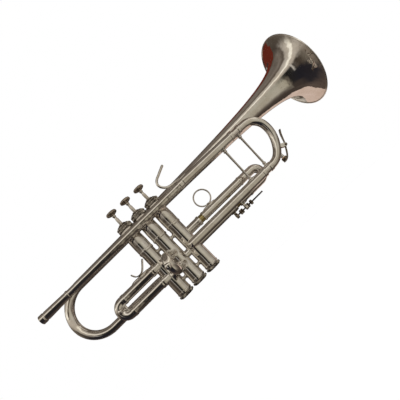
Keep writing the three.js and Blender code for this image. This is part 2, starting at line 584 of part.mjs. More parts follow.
// The water key lever: a thumb blade above the pivot, and an arm that carries the cork cup.
const leverOutline = [
  [206.8, -31.4], [210.4, -32.6], [213.2, -27.6], [216.4, -19], [221.2, -9.6], [219.6, -8.8],
  [214.4, -18], [211.4, -26], [208.6, -28.4],
];
const armOutline = [
  [190.6, -46.6], [201.6, -43.8], [210.6, -31.8], [207.4, -30.2], [199.6, -41.6], [190.6, -44.6],
];
const corkCup = rod(at(NIPPLE_X, KEY_Y, NIPPLE_BOTTOM - GAP), at(0, 0, -1), 4.1, 5.4, 16);
const keyLever = plate(leverOutline, KEY_Y - 1.5, KEY_Y + 1.5)
  .add(plate(armOutline, KEY_Y - 1.5, KEY_Y + 1.5))
  .add(pivotRod(0.8, 4.6))
  .add(corkCup);
add('water_key_lever', keyLever, silverDark);

export default trumpet;
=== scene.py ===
# %% [markdown]
# # A silver-plated trumpet
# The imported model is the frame: it says where every tube, cap and slide lies and what moves. It is
# faceted, so this script stands a finer piece in the place of each visible node. Sizes are in
# millimetres in the trumpet's own frame: +X to the bell, +Z to the finger buttons, +Y to the
# player's left. The origin is on the middle valve's axis.

# %% Load the frame
import json
import math

import bmesh
import bpy
from mathutils import Matrix, Vector

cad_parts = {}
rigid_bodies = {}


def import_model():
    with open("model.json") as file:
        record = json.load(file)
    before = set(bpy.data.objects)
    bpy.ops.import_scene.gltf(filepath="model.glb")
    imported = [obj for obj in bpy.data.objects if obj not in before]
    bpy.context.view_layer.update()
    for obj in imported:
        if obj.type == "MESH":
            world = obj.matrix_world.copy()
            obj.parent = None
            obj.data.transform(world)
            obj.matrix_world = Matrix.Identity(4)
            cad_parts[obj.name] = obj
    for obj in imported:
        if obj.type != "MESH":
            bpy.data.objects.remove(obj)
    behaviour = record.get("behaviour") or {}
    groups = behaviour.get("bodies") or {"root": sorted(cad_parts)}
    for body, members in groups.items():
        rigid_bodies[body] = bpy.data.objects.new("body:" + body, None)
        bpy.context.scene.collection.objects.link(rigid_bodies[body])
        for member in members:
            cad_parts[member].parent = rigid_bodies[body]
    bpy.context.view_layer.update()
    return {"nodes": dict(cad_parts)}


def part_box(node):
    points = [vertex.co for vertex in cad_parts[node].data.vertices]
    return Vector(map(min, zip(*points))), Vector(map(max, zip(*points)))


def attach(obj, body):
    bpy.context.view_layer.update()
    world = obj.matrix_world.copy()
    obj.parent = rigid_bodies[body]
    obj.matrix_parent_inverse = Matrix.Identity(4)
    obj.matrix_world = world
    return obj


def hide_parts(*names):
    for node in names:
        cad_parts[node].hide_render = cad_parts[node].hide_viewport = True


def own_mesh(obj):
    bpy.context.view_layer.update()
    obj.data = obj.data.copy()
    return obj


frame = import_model()
MM = 0.001

# %% [markdown]
# ## The camera
# The trumpet is shown hanging at 45 degrees, so the camera is rolled by that angle and the model
# stays level. The camera stands about half a metre off on the player's right, a little below the
# valves. Its lens is short, which makes the bell's far rim look small beside the near slides. A
# constraint could aim it, but with the angles written out the roll is plain to see.

# %% Camera
CAMERA_PLACE = Vector((3.0, -447.5, -53.0)) * MM
CAMERA_YAW = math.radians(9.0)
CAMERA_PITCH = math.radians(6.5)
CAMERA_ROLL = math.radians(45.0)
LENS = 30.06
SENSOR = 36.0

ahead = Vector((
    math.sin(CAMERA_YAW) * math.cos(CAMERA_PITCH),
    math.cos(CAMERA_YAW) * math.cos(CAMERA_PITCH),
    math.sin(CAMERA_PITCH)))
level = Vector((math.cos(CAMERA_YAW), -math.sin(CAMERA_YAW), 0.0))
upright = level.cross(ahead)
camera_right = level * math.cos(CAMERA_ROLL) - upright * math.sin(CAMERA_ROLL)
camera_up = level * math.sin(CAMERA_ROLL) + upright * math.cos(CAMERA_ROLL)
camera_data = bpy.data.cameras.new("camera")
camera_data.lens = LENS
camera_data.sensor_width = SENSOR
camera = bpy.data.objects.new("camera", camera_data)
bpy.context.scene.collection.objects.link(camera)
turned_camera = Matrix((camera_right, camera_up, -ahead)).transposed().to_4x4()
camera.matrix_world = Matrix.Translation(CAMERA_PLACE) @ turned_camera
bpy.context.scene.camera = camera
print("camera looks along", [round(v, 3) for v in ahead])

# %% [markdown]
# ## Colour
# Colours are written as sRGB hex values, as a painter would pick them. Blender's shaders work in
# linear light, so one function turns the first into the second.

# %% Hex colour to linear
def linear(hex_colour):
    """An sRGB hex colour as linear red, green, blue and alpha."""
    values = [int(hex_colour[i:i + 2], 16) / 255 for i in (1, 3, 5)]
    return [v / 12.92 if v <= 0.04045 else ((v + 0.055) / 1.055) ** 2.4 for v in values] + [1.0]


print("mid grey is", [round(v, 3) for v in linear("#808080")])

# %% [markdown]
# ## Building with nodes
# A material is a small graph of nodes. One helper adds a node, sets what it is given and links what
# it is handed, so each material below reads as a list of steps.

# %% One helper for nodes
def add_node(tree, kind, inputs=None, stops=(), **settings):
    """Adds a node. An input is a value, or another node's output socket, which gets linked.
    Stops are (place, hex colour) pairs for a node with a colour ramp."""
    node = tree.nodes.new(kind)
    for key, value in settings.items():
        setattr(node, key, value)
    for key, value in (inputs or {}).items():
        if isinstance(value, bpy.types.NodeSocket):
            tree.links.new(value, node.inputs[key])
        else:
            node.inputs[key].default_value = value
    for index, (position, colour) in enumerate(stops):
        elements = node.color_ramp.elements
        stop = elements[index] if index < len(elements) else elements.new(1.0)
        stop.position = position
        stop.color = linear(colour)
    return node


print("the node helper is ready")

# %% [markdown]
# ## Silver plate
# The horn is brass with a thin coat of electroplated silver, polished bright and then lightly
# tarnished. Polished silver reflects nearly all light, so its look is what it mirrors. Three things
# make it real: a warm tint that comes and goes over about 20 mm, roughness that varies where hands
# have rubbed, and faint dents and ripples in the drawn tube that bend the reflections. Polishing
# scratches are under 0.05 mm wide, which is too fine to show, so they are drawn 0.4 mm wide. An
# image of worn metal could give the same marks, but noise needs no file and leaves no seams.

# %% A function for plated and polished metal
TINT_PATCH = 20.0
RIPPLE = 9.0
RIPPLE_HEIGHT = 0.26
SCRATCH = 0.4
SCRATCH_DEPTH = 0.004
SPECK = 1.6
SPECK_LEVEL = 0.62
SPECK_STRENGTH = 0.55


def polished(name, slot, light, tone, roughness, patch=TINT_PATCH, spots="#5d5345"):
    """A polished metal with patches of colour (tarnish, and painted shade on the caps), ripples and
    scratches. Sizes are in millimetres.
    """
    material = bpy.data.materials.new(name)
    material.use_nodes = True
    material["slot"] = slot
    tree = material.node_tree
    shader = tree.nodes["Principled BSDF"]
    place = add_node(tree, "ShaderNodeTexCoord").outputs["Object"]
    patches = add_node(
        tree, "ShaderNodeTexNoise",
        {"Vector": place, "Scale": 1 / (patch * MM), "Detail": 6.0, "Roughness": 0.62})
    tint = add_node(
        tree, "ShaderNodeValToRGB", {"Fac": patches.outputs["Fac"]}, stops=[(0.32, light), (0.68, tone)])
    specks = add_node(
        tree, "ShaderNodeTexNoise",
        {"Vector": place, "Scale": 1 / (SPECK * MM), "Detail": 3.0, "Roughness": 0.55})
    speck_mask = add_node(
        tree, "ShaderNodeMapRange",
        {"Value": specks.outputs["Fac"], "From Min": SPECK_LEVEL, "From Max": SPECK_LEVEL + 0.1,
         "To Max": SPECK_STRENGTH})
    colour = add_node(
        tree, "ShaderNodeMix",
        {"Factor": speck_mask.outputs["Result"], "A": tint.outputs["Color"], "B": linear(spots)},
        data_type="RGBA")
    worn = add_node(
        tree, "ShaderNodeMapRange",
        {"Value": patches.outputs["Fac"], "From Min": 0.3, "From Max": 0.7,
         "To Min": roughness * 0.75, "To Max": roughness * 1.5})
    ripples = add_node(
        tree, "ShaderNodeTexNoise", {"Vector": place, "Scale": 1 / (RIPPLE * MM), "Detail": 1.0})
    scratches = add_node(
        tree, "ShaderNodeTexNoise",
        {"Vector": place, "Scale": 1 / (SCRATCH * MM), "Detail": 2.0, "Distortion": 1.5})
    dents = add_node(
        tree, "ShaderNodeBump",
        {"Height": ripples.outputs["Fac"], "Strength": 1.0, "Distance": RIPPLE_HEIGHT * MM})
    grain = add_node(
        tree, "ShaderNodeBump",
        {"Height": scratches.outputs["Fac"], "Strength": 0.25, "Distance": SCRATCH_DEPTH * MM,
         "Normal": dents.outputs["Normal"]})
    shader.inputs["Metallic"].default_value = 1.0
    tree.links.new(colour.outputs["Result"], shader.inputs["Base Color"])
    tree.links.new(worn.outputs["Result"], shader.inputs["Roughness"])
    tree.links.new(grain.outputs["Normal"], shader.inputs["Normal"])
    return material


print("tarnish comes and goes over", TINT_PATCH, "mm")

# %% [markdown]
# ## The metals of the horn
# The other metals are finished in the same steps as the silver, so one function makes them all. Each
# is given its own colours, how rough it is, and how large its patches are: tarnish on most, painted shade
# on the caps.

# %% The metals
# Buffed silver plate on the tubes: a clear mirror, a little warm.
silver_plate = polished("silver_plate", "silver_plate", "#FAF8F6", "#E4DED6", 0.035)
# Silver that is handled but never polished, on the water key and the stop rod: dark and dull.
worn_silver = polished("worn_silver", "dark_silver", "#9A8F83", "#655B51", 0.14, spots="#3c342c")
# Silver that fingertips rub, on the buttons: a soft sheen in small light and dark patches.
button_silver = polished(
    "rubbed_silver", "dark_silver", "#D2C7BA", "#94887B", 0.14, patch=5.0, spots="#3c342c")
# Silver on the caps: still bright, with small dark patches of painted shade for the dark that the caps
# mirror.
cap_silver = polished(
    "cap_silver_painted_shade", "silver_plate", "#E6E0D8", "#4A423A", 0.055, patch=2.8, spots="#2e2822")
# Lapped brass without plating, on the third slide's legs and the valve guides: pale yellow satin.
bare_brass = polished("bare_brass", "bare_brass", "#C6B684", "#978757", 0.16, spots="#6b5a2a")
# Monel, the hard nickel alloy of the pistons, lapped to a fine grey satin.
lapped_monel = polished("lapped_monel", "monel", "#B9B4AC", "#98928A", 0.24)
# Drawn spring wire: a greyer and duller metal than the rest.
spring_steel = polished("spring_steel", "spring_steel", "#9C9892", "#6F6B66", 0.28)
print("metals:", [m.name for m in bpy.data.materials if m.get("slot")])

# %% [markdown]
# ## Cork
# The water key closes on a cork disc, cut from bark. It is soft, matt and grainy, with grains of
# about 1.2 mm, so its colour and its surface both follow one noise of that size. An image of bark
# could be wrapped on it, but on so small a disc the noise looks the same.

# %% Cork
CORK_GRAIN = 1.2
CORK_PIT = 0.2
cork = bpy.data.materials.new("cork")
cork.use_nodes = True
cork["slot"] = "dark_silver"
cork_tree = cork.node_tree
cork_shader = cork_tree.nodes["Principled BSDF"]
cork_place = add_node(cork_tree, "ShaderNodeTexCoord").outputs["Object"]
grains = add_node(
    cork_tree, "ShaderNodeTexNoise",
    {"Vector": cork_place, "Scale": 1 / (CORK_GRAIN * MM), "Detail": 4.0})
bark = add_node(
    cork_tree, "ShaderNodeValToRGB", {"Fac": grains.outputs["Fac"]},
    stops=[(0.35, "#7A5634"), (0.65, "#B98F5E")])
pits = add_node(
    cork_tree, "ShaderNodeBump",
    {"Height": grains.outputs["Fac"], "Strength": 0.6, "Distance": CORK_PIT * MM})
cork_shader.inputs["Roughness"].default_value = 0.9
cork_tree.links.new(bark.outputs["Color"], cork_shader.inputs["Base Color"])
cork_tree.links.new(pits.outputs["Normal"], cork_shader.inputs["Normal"])
print("cork grains are", CORK_GRAIN, "mm across")

# %% [markdown]
# ## Turning
# Most parts of a brass instrument are turned on a lathe, so the first builder turns a profile about
# an axis. A shape here is a list of points and a list of faces, and shapes are easy to join before
# they become one mesh. A real edge is never sharp, so every corner of a profile is rounded. The
# screw modifier turns a profile too, but rings made here can also be knurled and filed.

# %% Rings of points and the faces between them
FORWARD = (1, 0, 0)
BACKWARD = (-1, 0, 0)
LEFT = (0, 1, 0)
RIGHT = (0, -1, 0)
UP = (0, 0, 1)
DOWN = (0, 0, -1)
ROUND = 64


def joined(*shapes):
    """Several shapes as one."""
    points, faces = [], []
    for shape_points, shape_faces in shapes:
        base = len(points)
        points += shape_points
        faces += [tuple(i + base for i in face) for face in shape_faces]
    return points, faces


def stitch(rings, loop=False):
    """The faces between rings of points. A ring of one point is a tip."""
    points, starts = [], []
    for ring in rings:
        starts.append(len(points))
        points += ring
    pairs = list(zip(range(len(rings) - 1), range(1, len(rings))))
    if loop:
        pairs.append((len(rings) - 1, 0))
    faces = []
    for a, b in pairs:
        count = max(len(rings[a]), len(rings[b]))
        for i in range(count):
            j = (i + 1) % count
            near = [starts[a]] if len(rings[a]) == 1 else [starts[a] + i, starts[a] + j]
            far = [starts[b]] if len(rings[b]) == 1 else [starts[b] + j, starts[b] + i]
            faces.append(tuple(near + far))
    return points, faces


def square_axes(direction):
    """Two unit vectors square to a direction."""
    helper = Vector(UP) if abs(direction.z) < 0.9 else Vector(FORWARD)
    side = direction.cross(helper).normalized()
    return side, direction.cross(side)


def round_angles(count):
    """Angles spaced evenly round a circle."""
    return [2 * math.pi * k / count for k in range(count)]


def circle(centre, direction, radius, sides, ridges=0, depth=0.0):
    """A ring of points about a direction, with an optional number of ridges round it."""
    side, other = square_axes(direction)
    ring = []
    for angle in round_angles(sides):
        r = radius - depth * (0.5 - 0.5 * math.cos(ridges * angle))
        ring.append(centre + (side * math.cos(angle) + other * math.sin(angle)) * r)
    return ring


print("a full circle has", ROUND, "sides")

# %% The lathe
EDGE = 0.3


def eased(profile, amount=EDGE, loop=False):
    """The same outline with each corner rounded, as a maker breaks every edge."""
    out = []
    count = len(profile)
    for i, corner in enumerate(profile):
        if not loop and i in (0, count - 1):
            out.append(corner)
            continue
        here = Vector(corner)
        before, after = Vector(profile[i - 1]), Vector(profile[(i + 1) % count])
        start = here + (before - here).normalized() * min(amount, 0.45 * (before - here).length)
        end = here + (after - here).normalized() * min(amount, 0.45 * (after - here).length)
        for t in (0.0, 0.33, 0.67, 1.0):
            out.append(tuple((1 - t) ** 2 * start + 2 * t * (1 - t) * here + t * t * end))
    return out


def lathe(profile, start, direction=UP, sides=ROUND, soften=EDGE, knurl=None):
    """Turns (height, radius) pairs about an axis. Off the axis, the profile closes on itself.
    A knurl is (lowest, highest, ridges, depth)."""
    start, direction = Vector(start), Vector(direction).normalized()
    loop = profile[0][1] > 0 or profile[-1][1] > 0
    if soften:
        profile = eased(profile, soften, loop)
    rings = []
    for height, radius in profile:
        centre = start + direction * height
        if radius < 1e-6:
            rings.append([centre])
        elif knurl and knurl[0] <= height <= knurl[1]:
            rings.append(circle(centre, direction, radius, sides, knurl[2], knurl[3]))
        else:
            rings.append(circle(centre, direction, radius, sides))
    return stitch(rings, loop)


def pipe_profile(length, outer, bore, bands=()):
    """The profile of a tube. Each band is (from, to, how far it stands proud)."""
    profile = [(0, bore)]
    if not bands or bands[0][0] > 0:
        profile.append((0, outer))
    for low, high, proud in bands:
        if low > 0:
            profile.append((low, outer))
        profile += [(low, outer + proud), (high, outer + proud)]
        if high < length:
            profile.append((high, outer))
    if not bands or bands[-1][1] < length:
        profile.append((length, outer))
    return [*profile, (length, bore)]


print("lathe ready; edges are rounded by", EDGE, "mm")

# %% [markdown]
# ## Bending
# Crooks, bows and hooks are straight tube or wire bent along a route. The second builder sweeps a
# circle along a route and turns it as little as it can from step to step, so it never twists. A
# curve with a bevel could make a plain tube. The sweep gives it an inner wall as well, so an open
# end shows how thick the metal is.

# %% The sweep
def tangent_at(route, i):
    """The direction of a route at one of its points."""
    return (route[min(i + 1, len(route) - 1)] - route[max(i - 1, 0)]).normalized()


def per_point(value, count):
    """One value for each point of a route; a single number serves them all."""
    return list(value) if hasattr(value, "__len__") else [value] * count


def sweep(route, radius, bore=None, sides=40, tangents=None):
    """A round section along a route, solid, or hollow where a bore is given."""
    route = [Vector(p) for p in route]
    count = len(route)
    if tangents is None:
        tangents = [tangent_at(route, i) for i in range(count)]
    side = square_axes(tangents[0])[0]
    spokes = []
    for tangent in tangents:
        side = (side - tangent * side.dot(tangent)).normalized()
        other = tangent.cross(side)
        spokes.append([side * math.cos(a) + other * math.sin(a) for a in round_angles(sides)])
    radii = per_point(radius, count)
    outer = [[p + s * r for s in ring] for p, ring, r in zip(route, spokes, radii)]
    if bore is None:
        return stitch([[route[0]], *outer, [route[-1]]])
    bores = per_point(bore, count)
    inner = [[p + s * r for s in ring] for p, ring, r in zip(route, spokes, bores)]
    return stitch([*outer, *reversed(inner)], loop=True)


def smooth_route(points, per_span=8):
    """A smooth route through a few points, as a centripetal Catmull-Rom spline."""
    points = [Vector(p) for p in points]
    padded = [points[0] * 2 - points[1], *points, points[-1] * 2 - points[-2]]
    out = []
    for p0, p1, p2, p3 in zip(padded, padded[1:], padded[2:], padded[3:]):
        t1 = (p1 - p0).length ** 0.5
        t2 = t1 + (p2 - p1).length ** 0.5
        t3 = t2 + (p3 - p2).length ** 0.5
        for k in range(per_span):
            t = t1 + (t2 - t1) * k / per_span
            a1 = p0.lerp(p1, t / t1)
            a2 = p1.lerp(p2, (t - t1) / (t2 - t1))
            a3 = p2.lerp(p3, (t - t2) / (t3 - t2))
            b1 = a1.lerp(a2, t / t2)
            b2 = a2.lerp(a3, (t - t1) / (t3 - t1))
            out.append(b1.lerp(b2, (t - t1) / (t2 - t1)))
    return [*out, points[-1]]


def u_bend(centre, out, up, radius, leg=0.0, turns=28):
    """A half circle in the plane of out and up, with a straight leg on each side."""
    centre, out, up = Vector(centre), Vector(out), Vector(up)
    angles = [math.pi * (0.5 - k / turns) for k in range(turns + 1)]
    arc = [centre + (out * math.cos(a) + up * math.sin(a)) * radius for a in angles]
    if leg:
        return [arc[0] - out * leg, *arc, arc[-1] - out * leg]
    return arc


def ball_end(route, radii, steps=5):
    """A route and its radii, continued by a half ball, as on the end of a hook."""
    tangent = (route[-1] - route[-2]).normalized()
    radius = radii[-1]
    angles = [math.pi / 2 * k / steps for k in range(1, steps + 1)]
    tip = [route[-1] + tangent * radius * math.sin(a) for a in angles]
    return route + tip, radii + [max(radius * math.cos(a), 0.02) for a in angles]


print("a sweep along a straight line is the same as a turned rod")

# %% [markdown]
# ## Plates, strips and feet
# Levers and saddles are cut from strip and bent. Where a strut or a hook meets a tube it stands on a
# thin shaped foot that wraps the tube, which spreads the load and holds the solder. A cube could be
# scaled and bent for each, but a section carried along a route keeps its thickness in every bend.

# %% Strips
def strip(route, across, widths, thickness, corner=0.35):
    """A bar with a rounded rectangular section, bent along a route."""
    route = [Vector(p) for p in route]
    across = Vector(across).normalized()
    rings = []
    for i, point in enumerate(route):
        normal = tangent_at(route, i).cross(across).normalized()
        half_width, half = widths[i] / 2, thickness / 2
        inner = half - corner
        rim = half_width - corner
        section = [
            (-half_width, -inner), (-rim, -half), (rim, -half), (half_width, -inner),
            (half_width, inner), (rim, half), (-rim, half), (-half_width, inner)]
        rings.append([point + across * a + normal * b for a, b in section])
    return stitch([[route[0]], *rings, [route[-1]]])


print("a strip is flat, with small bevels along its edges")

# %% Feet
FOOT_SIDES = 48
FOOT_SUNK = 0.25


def foot(centre, along, towards, radius, length, half_angle, thickness=0.7, power=2.0):
    """A pad that wraps a tube. It is widest in the middle and comes to rounded points."""
    centre, along, towards = Vector(centre), Vector(along).normalized(), Vector(towards)
    towards = (towards - along * towards.dot(along)).normalized()
    side = along.cross(towards)

    def on_tube(share, angle, height):
        """A point of the pad: its share of the way out, round which angle, how high."""
        reach = share * length / 2 * math.copysign(abs(math.cos(angle)) ** power, math.cos(angle))
        wrap = share * half_angle * math.copysign(abs(math.sin(angle)) ** (2 / power), math.sin(angle))
        out = towards * math.cos(wrap) + side * math.sin(wrap)
        return centre + along * reach + out * (radius + height)

    angles = round_angles(FOOT_SIDES)
    rings = [[centre + towards * (radius + thickness)]]
    for share in (0.2, 0.4, 0.6, 0.8, 0.92, 0.98, 1.0):
        height = thickness * (1 - share ** 8)
        rings.append([on_tube(share, a, height) for a in angles])
    rings.append([on_tube(1.0, a, -FOOT_SUNK) for a in angles])
    rings.append([centre + towards * (radius - FOOT_SUNK)])
    return stitch(rings)


print("a foot is let into its tube by", FOOT_SUNK, "mm")

# %% [markdown]
# ## From shape to piece
# A piece is a shape made into one smooth mesh with its material. It rides on the body that moves it
# and stands for the plain solids of the frame. Edges sharper than about 35 degrees stay crisp. A
# subdivision modifier could smooth the pieces, but it would pull true circles out of shape, so
# they get many facets and smooth shading.

# %% Make a piece
SHARP = math.radians(35)
ROOT = "trumpet_body"
made = []


def piece(name, shape, material, body, nodes=()):
    """Makes a shape into one smooth mesh that rides on a body and stands for the given nodes."""
    points, faces = shape
    mesh = bpy.data.meshes.new(name)
    mesh.from_pydata([Vector(p) * MM for p in points], [], faces)
    shaped = bmesh.new()
    shaped.from_mesh(mesh)
    bmesh.ops.remove_doubles(shaped, verts=shaped.verts, dist=1e-6)
    bmesh.ops.dissolve_degenerate(shaped, edges=shaped.edges, dist=1e-7)
    bmesh.ops.recalc_face_normals(shaped, faces=shaped.faces)
    shaped.to_mesh(mesh)
    shaped.free()
    mesh.shade_smooth()
    mesh.set_sharp_from_angle(angle=SHARP)
    mesh.materials.append(material)
    built = bpy.data.objects.new(name, mesh)
    bpy.context.scene.collection.objects.link(built)
    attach(built, body)
    if nodes:
        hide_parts(*nodes)
    made.append(name)
    return built


def box_mm(node):
    """A node's lowest corner, highest corner and middle, in millimetres."""
    low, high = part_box(node)
    return low / MM, high / MM, (low + high) / 2 / MM


print("the root body is", ROOT)

# %% [markdown]
# ## The valve casings
# Each valve is a tube of drawn brass. Its upper half, the baluster, is a little thicker, and a ring
# shows where the two halves were joined. Threaded collars carry the caps. They are turned, so the
# lathe makes them, with the ring and both collars in the profile.

# %% Valve places and casings
BORE = 8.75
CASING_R = 10.0
WAIST = -1.4
casing_boxes = [box_mm(f"valve_casing_{i}") for i in (1, 2, 3)]
valve_x = [middle.x for _, _, middle in casing_boxes]
casing_low = casing_boxes[0][0].z
casing_high = casing_boxes[0][1].z

casing_profile = [
    (casing_low, BORE), (casing_low, CASING_R + 0.1), (casing_low + 1.2, CASING_R + 0.1),
    (casing_low + 1.2, CASING_R + 0.5), (casing_low + 3.4, CASING_R + 0.5), (casing_low + 3.4, CASING_R),
    (WAIST - 0.6, CASING_R), (WAIST - 0.2, CASING_R + 0.9), (WAIST + 2.6, CASING_R + 0.9),
    (WAIST + 3.0, CASING_R + 0.45), (12, CASING_R + 0.75), (28, CASING_R + 0.3), (33, CASING_R),
    (33.2, CASING_R + 0.55), (35.4, CASING_R + 0.55), (35.6, CASING_R + 0.05),
    (casing_high, CASING_R + 0.05), (casing_high, BORE)]
for number, x in enumerate(valve_x, 1):
    shape = lathe(casing_profile, (x, 0, 0), sides=96)
    piece(f"casing_{number}", shape, silver_plate, ROOT, [f"valve_casing_{number}"])
print("valves stand at x =", [round(x, 1) for x in valve_x])

# %% [markdown]
# ## Caps, stems and buttons
# The caps screw on, so their rims are knurled for the fingers. Knurling could be a bump in the
# material, but its ridges show along the rim's outline, so they are cut into the shape. A stem runs
# from each piston through the top cap to a dished button. The felts that quieten it are inside the
# cap, out of sight.

# %% Caps
KNURL_RIDGES = 44
KNURL_DEPTH = 0.55
KNURL_SIDES = 4 * KNURL_RIDGES
CAP_R = 11.3
STEM_HOLE = 2.9
_, cap_top, _ = box_mm("top_cap_1")
bottom_low, _, _ = box_mm("bottom_cap_1")

top_cap_profile = [
    (38.0, BORE), (38.0, CAP_R - 0.5), (38.5, CAP_R), (41.0, CAP_R), (41.2, CAP_R - 0.7),
    (41.9, CAP_R - 0.7), (42.1, CAP_R), (44.2, CAP_R), (44.8, CAP_R - 0.9), (45.6, CAP_R - 2.0),
    (46.6, 8.2), (47.2, 6.2), (47.4, 5.0), (cap_top.z, 4.8), (cap_top.z, STEM_HOLE), (44.6, STEM_HOLE),
    (43.6, BORE)]
bottom_cap_profile = [
    (bottom_low.z + 0.7, 2.4), (bottom_low.z + 0.2, 3.2), (bottom_low.z, 6.2), (bottom_low.z + 0.2, 8.8),
    (bottom_low.z + 1.4, CAP_R - 0.9), (bottom_low.z + 1.8, CAP_R), (bottom_low.z + 4.0, CAP_R),
    (bottom_low.z + 4.6, CAP_R - 0.8), (bottom_low.z + 4.6, 8.6), (bottom_low.z + 2.4, 2.4)]
top_rim = (38.4, 44.3, KNURL_RIDGES, KNURL_DEPTH)
bottom_rim = (bottom_low.z + 1.7, bottom_low.z + 4.1, KNURL_RIDGES, KNURL_DEPTH)
for number, x in enumerate(valve_x, 1):
    shape = lathe(top_cap_profile, (x, 0, 0), sides=KNURL_SIDES, knurl=top_rim)
    piece(f"top_cap_knurled_{number}", shape, cap_silver, ROOT, [f"top_cap_{number}"])
    shape = lathe(bottom_cap_profile, (x, 0, 0), sides=KNURL_SIDES, knurl=bottom_rim)
    piece(f"bottom_cap_knurled_{number}", shape, cap_silver, ROOT, [f"bottom_cap_{number}"])
print("caps have", KNURL_RIDGES, "ridges each")

# %% Stems and buttons
button_low, button_high, _ = box_mm("finger_button_1")
stem_low, stem_high, _ = box_mm("piston_stem_1")
BUTTON_R = (button_high.x - button_low.x) / 2
STEM_R = 2.4

stem_profile = [
    (stem_low.z, 0), (stem_low.z, STEM_R), (57.6, STEM_R), (58.4, 2.0), (60.6, 1.8), (62.4, 2.3),
    (62.7, 2.7), (63.8, 2.7), (64.2, STEM_R), (stem_high.z, STEM_R), (stem_high.z, 0)]
button_profile = [
    (button_low.z, 0), (button_low.z, 3.0), (button_low.z + 0.6, 5.0),
    (button_low.z + 1.8, BUTTON_R - 0.6), (button_low.z + 2.6, BUTTON_R),
    (button_high.z - 1.6, BUTTON_R), (button_high.z - 0.4, BUTTON_R - 0.7),
    (button_high.z - 0.1, BUTTON_R - 1.6), (button_high.z - 0.5, BUTTON_R - 2.0),
    (button_high.z - 0.9, 4.4), (button_high.z - 1.1, 0)]
for number, x in enumerate(valve_x, 1):
    valve = f"valve_{number}"
    piece(f"stem_{number}", lathe(stem_profile, (x, 0, 0), sides=32), silver_plate, valve,
          [f"piston_stem_{number}"])
    piece(f"button_{number}", lathe(button_profile, (x, 0, 0), sides=72), button_silver, valve,
          [f"finger_button_{number}"])
print("buttons are", round(BUTTON_R * 2, 1), "mm across")

# %% [markdown]
# ## Inside the valves
# The pistons and their guides can't be seen while the caps are on, but they show when the horn comes
# apart. The frame's own solids are right for them, so they only get finishes.

# %% Finishes for the hidden parts
hidden = {"piston": lapped_monel, "valve_guide": bare_brass}
for stem, material in hidden.items():
    for number in (1, 2, 3):
        solid = frame["nodes"][f"{stem}_{number}"]
        solid.data.materials.clear()
        solid.data.materials.append(material)
print("hidden parts finished:", 3 * len(hidden))

# %% [markdown]
# ## The valve springs
# A coil of steel wire stands on each guide and pushes the piston up. It is wound as a helix, so the
# sweep makes it along one. It gets shorter as its valve is pressed, and it is given a mesh of its own.

# %% Springs
SPRING_TURNS = 5
SPRING_STEPS = 28
SPRING_WIRE = 0.52
for number, x in enumerate(valve_x, 1):
    spring_low, spring_high, _ = box_mm(f"valve_spring_{number}")
    foot_z = spring_low.z + SPRING_WIRE
    tall = spring_high.z - spring_low.z - 2 * SPRING_WIRE
    winding = (spring_high.x - spring_low.x) / 2 - SPRING_WIRE
    coil = []
    for i in range(SPRING_TURNS * SPRING_STEPS + 1):
        angle = 2 * math.pi * i / SPRING_STEPS
        z = foot_z + tall * i / (SPRING_TURNS * SPRING_STEPS)
        coil.append((x + winding * math.cos(angle), winding * math.sin(angle), z))
    spring = piece(f"valve_spring_coil_{number}", sweep(coil, SPRING_WIRE, sides=10), spring_steel, ROOT,
                   [f"valve_spring_{number}"])
    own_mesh(spring)

# %% [markdown]
# ## Meeting a casing
# A tube that is soldered to a round casing is filed to a saddle so that it sits on it. Here the
# points of a tube that lie inside the casing's wall are moved out along the tube until they meet
# the wall, which gives the same saddle. A boolean could cut it, but it leaves slivers where two
# walls nearly touch.

# %% File a tube to a casing
WALL_MIDDLE = 9.4


def filed(shape, casing_x, direction):
    """A shape whose points inside a casing are moved along a direction, out to the casing's wall."""
    points, faces = shape
    direction = Vector(direction).normalized()
    flat = Vector((direction.x, direction.y))
    moved = []
    for p in points:
        q = Vector((p.x - casing_x, p.y))
        if q.length < WALL_MIDDLE:
            toward = q.dot(flat)
            step = -toward + math.sqrt(toward ** 2 + WALL_MIDDLE ** 2 - q.length_squared)
            p = p + direction * step
        moved.append(p)
    return moved, faces


print("tubes end in the casing wall at a radius of", WALL_MIDDLE, "mm")

# %% [markdown]
# ## The bell and its bow
# A bell is hammered from sheet and spun on a mandrel to a curve in which the radius grows as the
# distance to a point beyond the rim shrinks. Its narrow end runs on into a bow that turns down and
# in towards the first valve. One sweep makes both, so no seam shows, and its outer and inner walls
# meet round a wire bead, as the real rim is rolled over a wire.

# %% The bell's stations
BELL_Y = 20.5
BELL_Z = 35.7
BELL_TILT = 0.031
RIM_X = 324.5
RIM_R = 62.0
FLARE_X = 336.0
FLARE_POWER = 0.6
BELL_WALL = 0.7
RIM_WIRE = 1.15
BOW_X = -119.8
BOW_Z = -4.9
BOW_R = 36.8
TAIL_Y = 8.7
TAIL_TUBE_R = 5.7


def bell_radius(x):
    """The bell's outer radius at a place along it."""
    return RIM_R * ((FLARE_X - RIM_X) / (FLARE_X - x)) ** FLARE_POWER


def bell_axis(x):
    """The point of the bell's slightly tilted centre line at a place along it."""
    return Vector((x, BELL_Y, BELL_Z + BELL_TILT * x))


bell_direction = Vector((1, 0, BELL_TILT)).normalized()
BOW_STEPS = 48
bow_top = bell_axis(BOW_X).z - BOW_Z
bow = []
for i in range(BOW_STEPS + 1):
    angle = math.pi * (0.5 + i / BOW_STEPS)
    blend = (1 - math.cos(math.pi * i / BOW_STEPS)) / 2
    reach = bow_top + (BOW_R - bow_top) * min(1, 2 * blend)
    bow.append(Vector((
        BOW_X + reach * math.cos(angle),
        BELL_Y + (TAIL_Y - BELL_Y) * blend,
        BOW_Z + reach * math.sin(angle))))
tail_z = bow[-1].z
